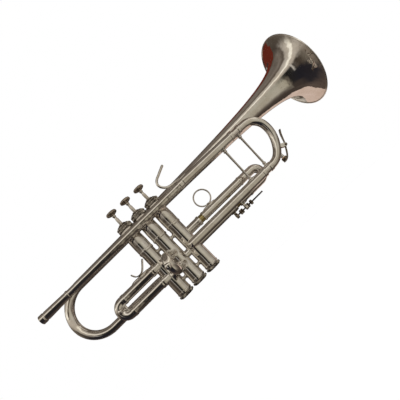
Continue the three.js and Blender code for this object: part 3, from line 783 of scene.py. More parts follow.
# Each station of the tail is (x, y, radius), from the casing back to the bow.
tail_stations = [
    (valve_x[0], 5.4, 4.2), (-31, 5.7, 4.6), (-36, 6.6, 5.2), (-42, 7.8, 5.6), (-50, TAIL_Y, TAIL_TUBE_R),
    (-70, TAIL_Y, TAIL_TUBE_R), (-90, TAIL_Y, TAIL_TUBE_R)]
tail = [Vector((x, y, tail_z)) for x, y, _ in tail_stations]
TOP_TUBE_R = bell_radius(BOW_X)
bow_route = [*tail, *reversed(bow)]
bow_radii = [radius for _, _, radius in tail_stations] + [
    TAIL_TUBE_R + (TOP_TUBE_R - TAIL_TUBE_R) * i / BOW_STEPS for i in range(BOW_STEPS + 1)]
print("the bow's tube grows from", TAIL_TUBE_R, "to", round(TOP_TUBE_R, 2), "mm radius")

# %% The bell as one sweep
BELL_STEPS = 90
BELL_SIDES = 128
CROWDING = 2.2
shares = [1 - (1 - i / BELL_STEPS) ** CROWDING for i in range(1, BELL_STEPS + 1)]
bell_x = [BOW_X + (RIM_X - BOW_X) * share for share in shares]
outer_route = bow_route + [bell_axis(x) for x in bell_x]
outer_radii = bow_radii + [bell_radius(x) for x in bell_x]
inner_radii = [r - BELL_WALL for r in outer_radii]
# The bell's own stretch is straight, so its sections all face the same way.
straight_from = len(bow_route) - 1
bell_tangents = [
    bell_direction if i >= straight_from else tangent_at(outer_route, i) for i in range(len(outer_route))]
bell_shape = sweep(outer_route, outer_radii, inner_radii, sides=BELL_SIDES, tangents=bell_tangents)
bell_shape = filed(bell_shape, valve_x[0], BACKWARD)
wire_centre = RIM_R - 0.5
wire_profile = [
    (RIM_WIRE * math.sin(a), wire_centre + RIM_WIRE * math.cos(a)) for a in round_angles(14)]
rim_shape = lathe(wire_profile, bell_axis(RIM_X), bell_direction, sides=BELL_SIDES, soften=0)
piece("bell_with_bow", joined(bell_shape, rim_shape), silver_plate, ROOT, ["bell", "bell_bow"])
print("the bell's rim is", round(2 * (wire_centre + RIM_WIRE), 1), "mm across")

# %% [markdown]
# ## The leadpipe and its receiver
# The mouthpiece goes into the receiver, a turned socket with a groove and a raised ring. The
# leadpipe widens slowly from it. Both are turned about the same slightly tilted line. They could be
# one piece, but the joint between them shows on a real horn, so they are two.

# %% Leadpipe and receiver
PIPE_Y = -18.0
LEADPIPE_R = 5.85
LEADPIPE_BORE = 4.1
pipe_start = Vector((-170.5, PIPE_Y, 24.8))
pipe_end = Vector((71.6, PIPE_Y, 29.3))
pipe_direction = (pipe_end - pipe_start).normalized()
pipe_length = (pipe_end - pipe_start).length

RECEIVER = 44.1
receiver_profile = [
    (0, 5.0), (0, 5.7), (0.5, 6.15), (5.6, 6.15), (6.4, 5.9), (6.9, 5.3), (7.9, 5.3), (8.4, 5.85),
    (9.6, 5.85), (24, 5.45), (40.6, 5.05), (41.4, 5.0), (41.7, 5.55), (43.6, 5.55), (RECEIVER, 5.2),
    (RECEIVER, LEADPIPE_BORE), (24, 4.3), (1.0, 4.8)]
leadpipe_profile = [
    (RECEIVER, LEADPIPE_BORE), (RECEIVER, 4.75), (85, 5.2), (128, 5.75), (pipe_length - 6.4, LEADPIPE_R),
    (pipe_length - 6.2, 6.55), (pipe_length - 0.2, 6.55), (pipe_length - 0.2, 5.2), (128, 5.1)]
piece("receiver", lathe(receiver_profile, pipe_start, pipe_direction, sides=96), silver_plate, ROOT,
      ["mouthpiece_receiver"])
piece("lead_pipe", lathe(leadpipe_profile, pipe_start, pipe_direction, sides=80), silver_plate, ROOT,
      ["leadpipe"])
print("the leadpipe is", round(pipe_length, 1), "mm long")

# %% [markdown]
# ## The main sleeves
# The tuning slide runs in two sleeves, each with a raised ring at its open end. The lower one comes
# off the third casing through a round knuckle. The knuckle could be a sphere of its own, but a
# quarter circle at the start of the profile turns it together with its sleeve.

# %% Upper and lower sleeves
SLEEVE_R = 6.3
SLEEVE_BORE = 5.9
RING = 0.65
RING_LENGTH = 5
LOWER_Y = -14.0
KNUCKLE_STEPS = 12
upper_low, upper_high, upper_middle = box_mm("main_sleeve_upper")
_, lower_high, lower_middle = box_mm("main_sleeve_lower")
upper_z = upper_middle.z
lower_z = lower_middle.z

upper_length = upper_high.x - upper_low.x
upper_ring = (upper_length - RING_LENGTH, upper_length, RING)
upper_profile = pipe_profile(upper_length, SLEEVE_R, SLEEVE_BORE, [upper_ring])
piece("tuning_sleeve_upper", lathe(upper_profile, (upper_low.x, PIPE_Y, upper_z), FORWARD),
      silver_plate, ROOT, ["main_sleeve_upper"])

knuckle_x = valve_x[2]
lower_length = lower_high.x - knuckle_x
knuckle_angles = [math.pi / 2 * k / KNUCKLE_STEPS for k in range(KNUCKLE_STEPS + 1)]
knuckle = [(-SLEEVE_R * math.cos(a), SLEEVE_R * math.sin(a)) for a in knuckle_angles]
lower_profile = [
    *knuckle, (lower_length - RING_LENGTH, SLEEVE_R), (lower_length - RING_LENGTH, SLEEVE_R + RING),
    (lower_length, SLEEVE_R + RING), (lower_length, SLEEVE_BORE), (20, SLEEVE_BORE), (20, 0)]
lower_shape = lathe(lower_profile, (knuckle_x, LOWER_Y, lower_z), FORWARD)
piece("tuning_sleeve_lower", filed(lower_shape, knuckle_x, RIGHT), silver_plate, ROOT,
      ["main_sleeve_lower"])
print("sleeves end at x =", round(upper_high.x, 1), "and", round(lower_high.x, 1))

# %% [markdown]
# ## Struts
# A turned strut holds two tubes apart. It is thin at the waist, swells into a bead towards each end,
# and stands on a shaped foot. Cones and spheres could be stacked for it, but one turned profile runs
# smoothly from bead to waist.

# %% Struts and their feet
STRUT_SUNK = 0.3
STRUT_FOOT = 13
STRUT_WRAP = 0.85


def strut(start, end, waist, start_tube, end_tube, start_along, end_along):
    """A turned strut between the centre lines of two tubes, with a foot on each."""
    start, end = Vector(start), Vector(end)
    along = (end - start).normalized()
    near = start_tube - STRUT_SUNK
    far = (end - start).length - end_tube + STRUT_SUNK
    half = (near + far) / 2
    profile = [
        (near, 0), (near, waist * 1.9), (near + 1.6, waist * 1.75), (near + 2.8, waist * 1.25),
        (near + 3.4, waist * 1.75), (near + 4.6, waist * 1.75), (near + 5.4, waist * 1.1),
        (half, waist * 0.92), (far - 5.4, waist * 1.1), (far - 4.6, waist * 1.75),
        (far - 3.4, waist * 1.75), (far - 2.8, waist * 1.25), (far - 1.6, waist * 1.75),
        (far, waist * 1.9), (far, 0)]
    return joined(
        lathe(profile, start, along, sides=40),
        foot(start, start_along, along, start_tube, STRUT_FOOT, STRUT_WRAP),
        foot(end, end_along, -along, end_tube, STRUT_FOOT, STRUT_WRAP))


def pipe_at(x):
    """The point of the leadpipe's centre line at a place along the horn."""
    return pipe_start + pipe_direction * ((x - pipe_start.x) / pipe_direction.x)


for name, x in (("bell_brace_rear", -50.0), ("bell_brace_front", 52.0)):
    shape = strut(
        pipe_at(x), bell_axis(x), 1.7, LEADPIPE_R, bell_radius(x), pipe_direction, bell_direction)
    piece(f"{name}_strut", shape, silver_plate, ROOT, [name])

sleeve_strut = strut(
    (142.6, PIPE_Y, upper_z), (140.2, LOWER_Y, lower_z), 1.6, SLEEVE_R, SLEEVE_R, FORWARD, FORWARD)
piece("sleeve_strut", sleeve_strut, silver_plate, ROOT, ["sleeve_brace"])
print("struts on the main body: 3")

# %% [markdown]
# ## The finger hook
# The right little finger rests in this hook. It is wire, bent up and over and finished with a round
# end, on a long foot soldered over the leadpipe's joint. Part of a torus would be too regular, so
# the sweep follows nine listed points, and a half ball closes the end.

# %% Finger hook
HOOK_WIRE = 1.75
HOOK_TAPER = 14
hook_points = [
    (76, PIPE_Y, 36.2), (66, PIPE_Y, 36.9), (58, PIPE_Y, 37.3), (51.5, PIPE_Y - 1, 38.8),
    (46.2, PIPE_Y - 2, 44), (45.2, PIPE_Y - 2, 49.6), (48.4, PIPE_Y - 2, 54.6), (56, PIPE_Y - 2, 58.8),
    (67, PIPE_Y - 2, 64.2)]
hook_route = smooth_route(hook_points)
# The wire is filed thin where it lies on the foot and thickens over its first points.
hook_radii = [HOOK_WIRE * (0.55 + 0.45 * min(1, i / HOOK_TAPER)) for i in range(len(hook_route))]
hook_wire = sweep(*ball_end(hook_route, hook_radii), sides=24)
hook_foot = foot(
    pipe_at(72), pipe_direction, UP, SLEEVE_R + 0.2, 27, 0.75, thickness=1.1, power=1.2)
piece("hook_for_little_finger", joined(hook_wire, hook_foot), silver_plate, ROOT, ["finger_hook"])
print("hook wire is", 2 * HOOK_WIRE, "mm thick")

# %% [markdown]
# ## Between the casings
# Air crosses from valve to valve through two short tubes, and four turned struts keep the casings
# parallel. All six are filed to the casings at both ends. Their two ends are alike, so only half of
# each profile is written and the rest is its mirror image.

# %% Crossover tubes and casing struts
def bridged(profile, index, z):
    """A turned shape across the gap after a casing, filed to both casings."""
    shape = lathe(profile, (valve_x[index], 0, z), FORWARD, sides=48)
    shape = filed(shape, valve_x[index], FORWARD)
    return filed(shape, valve_x[index + 1], BACKWARD)


def mirrored_ends(half_profile, length):
    """A profile whose far end is the mirror of its near end."""
    return half_profile + [(length - height, radius) for height, radius in reversed(half_profile)]


pitch = valve_x[1] - valve_x[0]
CROSSOVER_R = 5.2
tube_bridge = mirrored_ends([(6.0, 0), (6.0, CROSSOVER_R)], pitch)
strut_bridge = mirrored_ends([(8.6, 0), (8.6, 3.6), (10.4, 3.3), (11.0, 2.3)], pitch)
for index, label in enumerate(("12", "23")):
    crossover_z = box_mm(f"crossover_tube_{label}")[2].z
    piece(f"crossover_{label}", bridged(tube_bridge, index, crossover_z), silver_plate, ROOT,
          [f"crossover_tube_{label}"])
    for level_name in ("upper", "lower"):
        node = f"casing_strut_{level_name}_{label}"
        shape = bridged(strut_bridge, index, box_mm(node)[2].z)
        piece(f"{node}_turned", shape, silver_plate, ROOT, [node])
print("six bridges between the casings")

# %% [markdown]
# ## The first valve's slide
# Two inner tubes are fixed to the casing and two outer tubes slide over them, joined by a crook with
# a pull knob. The tubes are turned. The crook could be half a torus, but a swept half circle can
# have a short straight leg at each end, which lets it meet the tubes squarely.

# %% First slide: fixed tubes, moving tubes and crook
LEG_R = 5.6
LEG_BORE = 5.1
FIRST_Y = -5.0
first_z = [box_mm("first_slide_outer_upper")[2].z, box_mm("first_slide_outer_lower")[2].z]
outer_low, outer_high, _ = box_mm("first_slide_outer_upper")
stub = valve_x[0] - (outer_high.x + 0.3)
FIRST_INNER = 58
first_inner_profile = [
    (0, LEG_BORE), (0, SLEEVE_R), (stub - 3.4, SLEEVE_R), (stub - 3.4, SLEEVE_R + RING),
    (stub, SLEEVE_R + RING), (stub, LEG_R), (FIRST_INNER, LEG_R), (FIRST_INNER, LEG_BORE)]
first_length = outer_high.x - outer_low.x
first_outer_profile = pipe_profile(
    first_length, SLEEVE_R, SLEEVE_BORE, [(0, 3.6, RING), (first_length - 4.2, first_length, 0.45)])
for level_name, z in zip(("upper", "lower"), first_z):
    inner = lathe(first_inner_profile, (valve_x[0], FIRST_Y, z), BACKWARD)
    piece(f"first_inner_{level_name}", filed(inner, valve_x[0], BACKWARD), silver_plate, ROOT,
          [f"first_slide_inner_{level_name}"])
    outer = lathe(first_outer_profile, (outer_high.x, FIRST_Y, z), BACKWARD)
    piece(f"first_outer_{level_name}", outer, silver_plate, "first_slide",
          [f"first_slide_outer_{level_name}"])

half_pitch = (first_z[0] - first_z[1]) / 2
first_middle = (first_z[0] + first_z[1]) / 2
crook_x = outer_low.x
first_bend = u_bend((crook_x - 2, FIRST_Y, first_middle), BACKWARD, UP, half_pitch, leg=1.9)
knob_place = (crook_x - 2.8, FIRST_Y, first_middle)
KNOB_DIRECTION = (-0.55, -0.8, 0.1)
knob_profile = [
    (0, 0), (0, 2.6), (0.8, 2.4), (1.8, 1.5), (9.4, 1.35), (10.2, 2.2), (10.9, 3.3), (11.8, 3.6),
    (13.2, 3.3), (13.9, 2.4), (14.2, 1.2), (14.3, 0)]
first_knob = lathe(knob_profile, knob_place, KNOB_DIRECTION, sides=48)
post_profile = [
    (-half_pitch + 5.6, 0), (-half_pitch + 5.6, 2.6), (-half_pitch + 6.6, 1.7),
    (half_pitch - 6.6, 1.7), (half_pitch - 5.6, 2.6), (half_pitch - 5.6, 0)]
first_post = lathe(post_profile, knob_place, sides=32)
first_crook = joined(sweep(first_bend, SLEEVE_R, SLEEVE_R - 0.6), first_knob, first_post)
piece("first_crook", first_crook, silver_plate, "first_slide", ["first_slide_crook"])
print("the first slide's tubes are", round(2 * half_pitch, 1), "mm apart")

# %% [markdown]
# ## The thumb saddle
# A bent strip on a long foot stands on the upper tube, and the left thumb pushes it to flatten a
# note. It could be modelled as a thin box and bent, but a strip along a smooth route bends evenly,
# as the metal does.

# %% Thumb saddle
SADDLE_WIDTH = 11.0
saddle_points = [
    (-59.6, FIRST_Y, -10.0), (-58.4, FIRST_Y, -13.0), (-56.2, FIRST_Y, -16.4), (-52.4, FIRST_Y, -17.9),
    (-47.4, FIRST_Y, -17.2), (-43.2, FIRST_Y, -13.7), (-39.2, FIRST_Y, -9.2), (-35.4, FIRST_Y, -4.8)]
saddle_route = smooth_route(saddle_points, per_span=6)
last = len(saddle_route) - 1
# The strip narrows over three points at each end.
from_end = [min(i, last - i) for i in range(last + 1)]
saddle_widths = [SADDLE_WIDTH * min(1, 0.55 + 0.45 * steps / 3) for steps in from_end]
saddle_strip = strip(saddle_route, LEFT, saddle_widths, 1.4)
saddle_foot = foot(
    (-52.5, FIRST_Y, first_z[0]), FORWARD, UP, SLEEVE_R + 0.1, 29, 0.8, thickness=1.3, power=1.3)
piece("saddle_for_thumb", joined(saddle_strip, saddle_foot), silver_plate, "first_slide",
      ["thumb_saddle"])
print("the saddle strip is", SADDLE_WIDTH, "mm wide")

# %% [markdown]
# ## The second valve's slide
# It is short and points out to the player's right, turned a little towards the mouthpiece. It is
# pulled by a knob on its crook. It could be built square and then rotated, but its parts are made
# along the slanted line from the start, so that they can be filed to the casing there.

# %% Second slide
SECOND_ANGLE = math.radians(13)
second_out = Vector((-math.sin(SECOND_ANGLE), -math.cos(SECOND_ANGLE), 0))
second_boxes = [box_mm(f"second_slide_sleeve_{level_name}") for level_name in ("upper", "lower")]
second_z = [middle.z for _, _, middle in second_boxes]
SECOND_SLEEVE = 32.0
SECOND_CROOK = 45.6
SECOND_LEG_START = 13.0
second_ring = (SECOND_SLEEVE - 3.6, SECOND_SLEEVE, RING)
for level_name, z in zip(("upper", "lower"), second_z):
    profile = pipe_profile(SECOND_SLEEVE, SLEEVE_R, SLEEVE_BORE, [second_ring])
    shape = filed(lathe(profile, (0, 0, z), second_out), valve_x[1], second_out)
    piece(f"second_sleeve_{level_name}", shape, silver_plate, ROOT, [f"second_slide_sleeve_{level_name}"])

second_middle = (second_z[0] + second_z[1]) / 2
second_centre = Vector((0, 0, second_middle)) + second_out * SECOND_CROOK
second_bend = u_bend(
    second_centre, second_out, UP, half_pitch, leg=SECOND_CROOK - SECOND_SLEEVE - 0.3)
second_knob_profile = [
    (-0.8, 0), (-0.8, 3.1), (0.2, 2.6), (1.2, 1.6), (3.2, 1.6), (4.0, 2.8), (4.6, 3.9), (5.6, 4.3),
    (6.9, 4.0), (7.8, 2.9), (8.2, 1.6), (8.3, 0)]
second_knob_place = second_centre + second_out * (half_pitch + SLEEVE_R - 0.6)
second_knob = lathe(second_knob_profile, second_knob_place, second_out, sides=48)
second_parts = [sweep(second_bend, SLEEVE_R, LEG_BORE), second_knob]
band = pipe_profile(4.0, SLEEVE_R + 0.45, SLEEVE_R - 0.3)
leg = pipe_profile(20, LEG_R, LEG_BORE)
for z in second_z:
    start = Vector((0, 0, z))
    second_parts.append(lathe(band, start + second_out * (SECOND_SLEEVE + 0.4), second_out))
    second_parts.append(lathe(leg, start + second_out * SECOND_LEG_START, second_out))
piece("second_crook", joined(*second_parts), silver_plate, "second_slide", ["second_slide_crook"])
print("the second slide points", round(math.degrees(SECOND_ANGLE)), "degrees back from straight out")

# %% [markdown]
# ## The third valve's slide
# This long slide is trimmed while playing, with the ring finger in its ring. It stands a few
# millimetres out, so a short stretch of bare brass shows at its shoulders. One tube with two
# finishes could stand for each leg, but an inner and an outer tube also give the step between them.
# A threaded rod with lock nuts under the slide sets how far it travels.

# %% Third slide: sleeves, legs and crook
THIRD_Y = 3.0
THIRD_SHOULDER = 6.2
third_boxes = [box_mm(f"third_slide_sleeve_{level_name}") for level_name in ("upper", "lower")]
third_z = [middle.z for _, _, middle in third_boxes]
leg_low, leg_high, _ = box_mm("third_slide_leg_upper")
whole = leg_high.x - leg_low.x
for index, level_name in enumerate(("upper", "lower")):
    z = third_z[index]
    end = third_boxes[index][1].x
    length = end - valve_x[2]
    profile = pipe_profile(length, SLEEVE_R, SLEEVE_BORE, [(length - 3.6, length, RING)])
    shape = filed(lathe(profile, (valve_x[2], THIRD_Y, z), FORWARD), valve_x[2], FORWARD)
    piece(f"third_sleeve_{level_name}", shape, silver_plate, ROOT, [f"third_slide_sleeve_{level_name}"])
    shoulder = end + THIRD_SHOULDER - leg_low.x
    inner_profile = pipe_profile(shoulder + 2, LEG_R, LEG_BORE)
    inner = lathe(inner_profile, (leg_low.x, THIRD_Y, z), FORWARD)
    piece(f"third_inner_{level_name}", inner, bare_brass, "third_slide",
          [f"third_slide_leg_{level_name}"])
    outer_length = whole - shoulder
    outer_bands = [(0, 2.6, 0.4), (outer_length - 3, outer_length, 0.55)]
    outer_profile = pipe_profile(outer_length, SLEEVE_R - 0.1, LEG_BORE + 0.2, outer_bands)
    outer = lathe(outer_profile, (leg_low.x + shoulder, THIRD_Y, z), FORWARD)
    piece(f"third_outer_{level_name}", outer, silver_plate, "third_slide")

third_crook_low, third_crook_high, third_crook_middle = box_mm("third_slide_crook")
third_centre_x = third_crook_high.x - SLEEVE_R - half_pitch
third_bend = u_bend(
    (third_centre_x, THIRD_Y, third_crook_middle.z), FORWARD, UP, half_pitch,
    leg=third_centre_x - third_crook_low.x)
piece("third_crook", sweep(third_bend, SLEEVE_R, LEG_BORE), silver_plate, "third_slide",
      ["third_slide_crook"])
print("the third slide's crook ends at x =", round(third_crook_high.x, 1))

# %% [markdown]
# ## The finger ring
# A closed hoop of flattened wire for the ring finger, on a short post and a foot. A torus would be
# round in section. The lathe turns an oval one, half as wide again as it is thick, which is kinder
# to the finger.

# %% Finger ring
ring_low, ring_high, _ = box_mm("third_slide_ring")
RING_WIRE = 1.05
RING_FLATNESS = 1.5
RING_OUTER = 13.0
ring_x = (ring_low.x + ring_high.x) / 2
ring_z = ring_high.z - RING_OUTER
hoop_profile = [
    (RING_WIRE * RING_FLATNESS * math.sin(a), RING_OUTER - RING_WIRE + RING_WIRE * math.cos(a))
    for a in round_angles(16)]
hoop = lathe(hoop_profile, (ring_x, THIRD_Y, ring_z), LEFT, sides=96, soften=0)
ring_base = (ring_x, THIRD_Y, third_z[0])
ring_foot = foot(ring_base, FORWARD, UP, SLEEVE_R, 22, 0.7, thickness=1.2, power=1.4)
ring_post_profile = [
    (SLEEVE_R + 0.2, 0), (SLEEVE_R + 0.2, 3.2), (SLEEVE_R + 1.6, 2.3), (SLEEVE_R + 3.2, 1.5),
    (SLEEVE_R + 3.2, 0)]
ring_post = lathe(ring_post_profile, ring_base, sides=32)
piece("finger_ring", joined(hoop, ring_foot, ring_post), silver_plate, "third_slide",
      ["third_slide_ring"])
print("the finger ring is", 2 * RING_OUTER, "mm across")

# %% [markdown]
# ## The stop rod
# The rod is threaded for its whole length. Knurled nuts lock against each other in pairs, one pair on
# each side of the lug that runs along the rod. A thread is a groove cut round and round at 0.7 mm
# pitch, drawn here as rings at 1.2 mm, which is the finest that shows.

# %% Stop rod
rod_low, rod_high, _ = box_mm("third_slide_stop_rod")
lug_low, _, _ = box_mm("third_slide_stop_lug")
ROD_Z = third_z[1] - 12.4
ROD_R = 1.25
THREAD = 1.2
THREAD_DEPTH = 0.35
post_x = rod_low.x + 1.8
rod_profile = [(post_x, 0), (post_x, ROD_R)]
turns = int((rod_high.x - post_x - 1) / THREAD)
for k in range(turns):
    rod_profile.append((post_x + k * THREAD + 0.3, ROD_R))
    rod_profile.append((post_x + k * THREAD + 0.8, ROD_R - THREAD_DEPTH))
rod_profile += [(rod_high.x - 0.4, ROD_R), (rod_high.x, ROD_R - 0.4), (rod_high.x, 0)]


def hanger(x, length):
    """A post that hangs under the slide's lower tube from a foot, with an eye for the rod."""
    stem_heights = (third_z[1] - SLEEVE_R + 0.2, ROD_Z + 4.5, ROD_Z + 3.0)
    stem = strip([(x, THIRD_Y, z) for z in stem_heights], LEFT, [4.2, 3.6, 3.8], length)
    eye_profile = [(-length / 2, 1.5), (-length / 2, 3.9), (length / 2, 3.9), (length / 2, 1.5)]
    eye = lathe(eye_profile, (x, THIRD_Y, ROD_Z), FORWARD, sides=40)
    pad = foot(
        (x + 1.6, THIRD_Y, third_z[1]), FORWARD, DOWN, SLEEVE_R, 12, 0.6, thickness=1.0, power=1.4)
    return joined(stem, eye, pad)


print("the rod's thread is drawn with", turns, "rings")

# %% Nuts and lug
lug_middle = lug_low.x + 1.9
# Each nut is (where it starts along the horn, how thick it is).
nut_places = [(101.2, 3.2), (104.6, 2.4), (lug_middle + 2.5, 2.6), (lug_middle + 7.9, 3.4)]
NUT_RIDGES = 24
rod = lathe(rod_profile, (0, THIRD_Y, ROD_Z), FORWARD, sides=24, soften=0)
rod_parts = [rod, hanger(post_x, 3.6)]
for x, length in nut_places:
    nut = [(0, 1.0), (0, 3.0), (0.4, 3.6), (length - 0.4, 3.6), (length, 3.0), (length, 1.0)]
    ridges = (0.3, length - 0.3, NUT_RIDGES, 0.4)
    rod_parts.append(lathe(nut, (x, THIRD_Y, ROD_Z), FORWARD, sides=4 * NUT_RIDGES, knurl=ridges))
piece("stop_rod_and_nuts", joined(*rod_parts), worn_silver, ROOT, ["third_slide_stop_rod"])
piece("stop_lug", hanger(lug_middle, 3.8), silver_plate, "third_slide", ["third_slide_stop_lug"])
print("the stop rod carries", len(nut_places), "nuts")

# %% [markdown]
# ## The main tuning slide
# One tube bent to the shape of an egg's end, with a straight leg in each sleeve. Rings mark where
# the legs were soldered into the crook, and a strut keeps the two legs parallel. Half a circle would
# be too round, so the crook is swept along a smooth route through fourteen points.

# %% Tuning slide crook
def crook_y(z):
    """Where the crook's centre line lies from side to side at a height: it leans a little."""
    share = (z - lower_z) / (upper_z - lower_z)
    return LOWER_Y + (PIPE_Y - LOWER_Y) * share


MAIN_LEG_START = 96.0
CROOK_R = 5.85
UPPER_END = 178.0
LOWER_END = 173.0
# Points of the crook's centre line, (x, z), from the upper leg round to the lower one.
crook_points = [
    (UPPER_END, upper_z), (184, upper_z - 0.1), (190.5, 29.2), (197.6, 26.8), (204, 21.4), (208.2, 13.8),
    (209.4, 5), (208.4, -4), (205.4, -13), (200, -22.4), (193.6, -29.8), (186.4, -34.6), (179, -36.5),
    (LOWER_END, lower_z)]
crook_route = smooth_route([Vector((x, crook_y(z), z)) for x, z in crook_points], per_span=6)
main_parts = [sweep(crook_route, CROOK_R, LEG_BORE, sides=56)]
for z, crook_end in ((upper_z, UPPER_END), (lower_z, LOWER_END)):
    leg = pipe_profile(crook_end - MAIN_LEG_START + 1, LEG_R, LEG_BORE)
    main_parts.append(lathe(leg, (MAIN_LEG_START, crook_y(z), z), FORWARD))
    band = pipe_profile(4.6, CROOK_R + 0.75, LEG_R - 0.2)
    main_parts.append(lathe(band, (crook_end - 2.6, crook_y(z), z), FORWARD))
print("the crook's ends are at x =", UPPER_END, "and", LOWER_END)

# %% [markdown]
# ## The water key's seat
# A nipple under the crook lets the water out, and two lugs beside the lever carry its pivot. The
# lugs are cut from plate. A cube could be edited into that shape, but an outline with its corners
# rounded, drawn on both faces and joined, says more plainly what it is.

# %% Water key seat: nipple and lugs
KEY_Y = -15.0
NIPPLE_X = 194.6
PIVOT = Vector((209.6, KEY_Y, -30.0))
LUG_OFFSET = 2.75
LUG_HALF = 0.8
nipple_profile = [
    (-39.8, 1.1), (-39.8, 2.6), (-38.2, 2.6), (-37.6, 2.2), (-33.4, 2.5), (-31, 3.2), (-31, 1.1)]
main_parts.append(lathe(nipple_profile, (NIPPLE_X, KEY_Y, 0), sides=32))
# The outline of a lug, (x, z). The lugs are two plates with the lever between them.
lug_points = [
    (199.4, -25.4), (202.6, -22.8), (206.0, -25.2), (211.2, -28.2), (211.9, -30.2), (210.6, -32.2),
    (207.6, -31.8), (203.4, -29.6)]
outline = eased(lug_points, 0.8, loop=True)
for y in (KEY_Y - LUG_OFFSET, KEY_Y + LUG_OFFSET):
    faces = [[Vector((x, y + half, z)) for x, z in outline] for half in (-LUG_HALF, LUG_HALF)]
    centres = [[face[0].lerp(face[len(outline) // 2], 0.5)] for face in faces]
    main_parts.append(stitch([centres[0], *faces, centres[1]]))
piece("tuning_crook", joined(*main_parts), silver_plate, "tuning_slide", ["tuning_slide_crook"])
tuning_strut = strut(
    (172.2, PIPE_Y, upper_z), (169.4, LOWER_Y, lower_z), 1.5, LEG_R, LEG_R, FORWARD, FORWARD)
piece("tuning_strut", tuning_strut, silver_plate, "tuning_slide", ["tuning_slide_brace"])
print("parts soldered into the crook:", len(main_parts))

# %% [markdown]
# ## The water key
# A sprung lever that lets condensed water out. The blade above the pivot is pressed by a finger, and
# the cup at the other end holds a cork against the nipple. The blade and the arm are strips, and the
# barrel, the screw and the cup are turned, just as a maker would do it.

# %% Water key
CORK_R = 3.7
blade = smooth_route([
    PIVOT, (211.6, KEY_Y, -26.6), (214.0, KEY_Y, -21.0), (216.6, KEY_Y, -15.2),
    (220.2, KEY_Y, -9.4)], per_span=6)
# The blade widens over its outer two thirds to fit a fingertip.
blade_widths = [3.0 + 2.6 * max(0, i / (len(blade) - 1) - 0.35) / 0.65 for i in range(len(blade))]
arm = smooth_route([
    PIVOT, (206.6, KEY_Y, -34.4), (202.6, KEY_Y, -40.0), (198.4, KEY_Y, -44.2), (194.0, KEY_Y, -46.0),
    (191.0, KEY_Y, -46.0)], per_span=6)
barrel = lathe([(-1.6, 0.7), (-1.6, 2.4), (1.6, 2.4), (1.6, 0.7)], PIVOT, LEFT, sides=40)
screw_profile = [
    (-5.0, 0), (-5.0, 1.5), (-4.2, 2.0), (-3.7, 2.0), (-3.6, 1.0), (3.6, 1.0), (3.7, 1.7), (4.6, 1.7),
    (5.0, 1.2), (5.0, 0)]
screw = lathe(screw_profile, PIVOT, LEFT, sides=32)
cup_profile = [
    (-45.9, 0), (-45.9, 2.0), (-45.2, 3.6), (-44.4, 4.2), (-41.2, 4.2), (-41.2, CORK_R),
    (-44.2, CORK_R), (-44.4, 0)]
cup = lathe(cup_profile, (NIPPLE_X, KEY_Y, 0), sides=48)
blade_strip = strip(blade, LEFT, blade_widths, 1.7)
arm_strip = strip(arm, LEFT, [3.2] * len(arm), 1.8)
key_shape = joined(blade_strip, arm_strip, barrel, screw, cup)
piece("water_key", key_shape, worn_silver, "water_key", ["water_key_lever"])
cork_profile = [(-44.4, 0), (-44.4, CORK_R), (-40.6, CORK_R), (-40.1, 3.3), (-40.1, 0)]
piece("water_key_cork", lathe(cork_profile, (NIPPLE_X, KEY_Y, 0), sides=48), cork, "water_key")
print("the cork is", 2 * CORK_R, "mm across")

# %% [markdown]
# ## The light
# A polished horn shows the room more than itself. This sky stands for that room: pale from the
# viewer round to the bell, dark from the viewer round to the receiver, brown beyond both, with a
# bright strip about 30 degrees up and a pale band straight behind the horn. Lamps could light it,
# but a mirror shows a lamp as a bare spot, so the light is painted on the sky by direction. Only
# reflections see it. To the camera the background is plain white, and matt surfaces get even white
# light.

# %% Directions in the sky
world = bpy.data.worlds.new("studio")
world.use_nodes = True
bpy.context.scene.world = world
tree = world.node_tree
tree.nodes.clear()
direction = add_node(tree, "ShaderNodeTexCoord").outputs["Generated"]
parts = add_node(tree, "ShaderNodeSeparateXYZ", {"Vector": direction})
backwards = add_node(tree, "ShaderNodeMath", {0: parts.outputs["Y"], 1: -1.0}, operation="MULTIPLY")
azimuth = add_node(
    tree, "ShaderNodeMath", {0: parts.outputs["X"], 1: backwards.outputs[0]}, operation="ARCTAN2")
around = add_node(
    tree, "ShaderNodeMapRange",
    {"Value": azimuth.outputs[0], "From Min": -math.pi, "From Max": math.pi}).outputs["Result"]


def compass(stops):
    """Turns (degrees from the viewer's side, colour) into places on a ramp."""
    return [((degrees + 180) / 360, colour) for degrees, colour in stops]


print("the sky is painted by azimuth and height")

# %% [markdown]
# ## The colours of the room
# Two ramps run round the horizon, one for the walls and one for the ground. Two more run upwards,
# one for the ceiling and one for what is high up behind the horn. An image of a room could do the
# same, but ramps can be tuned one direction at a time.

# %% The colours of the room
BRIGHT_LOW = 0.46
BRIGHT_HIGH = 0.53
walls = add_node(tree, "ShaderNodeValToRGB", {"Fac": around}, stops=compass([
    (-180, "#c2baae"), (-173, "#aaa296"), (-167, "#554b41"), (-140, "#574d43"), (-115, "#4f463c"),
    (-101, "#7f7468"), (-88, "#686055"), (-70, "#4c443b"), (-58, "#423a32"), (-46, "#534c45"),
    (-38, "#48443f"), (-33, "#c9c4bb"), (-29, "#3a3734"), (-20, "#242321"), (-9, "#1e1d1b"),
    (-3, "#5c584e"), (3, "#969183"), (12, "#aaa596"), (24, "#bab5a7"), (45, "#b6b0a3"),
    (65, "#a39d92"), (84, "#9b948a"), (104, "#7f776d"), (125, "#665e55"), (167, "#554b41"),
    (173, "#aaa296"), (180, "#c2baae")]))
ground = add_node(tree, "ShaderNodeValToRGB", {"Fac": around}, stops=compass([
    (-180, "#3a322c"), (-130, "#564a43"), (-105, "#292629"), (-40, "#212025"), (-11, "#252322"),
    (-6, "#6a6256"), (-1, "#a49d8c"), (20, "#aaa394"), (45, "#857c71"), (75, "#5f574e"), (120, "#3e3630"),
    (180, "#3a322c")]))
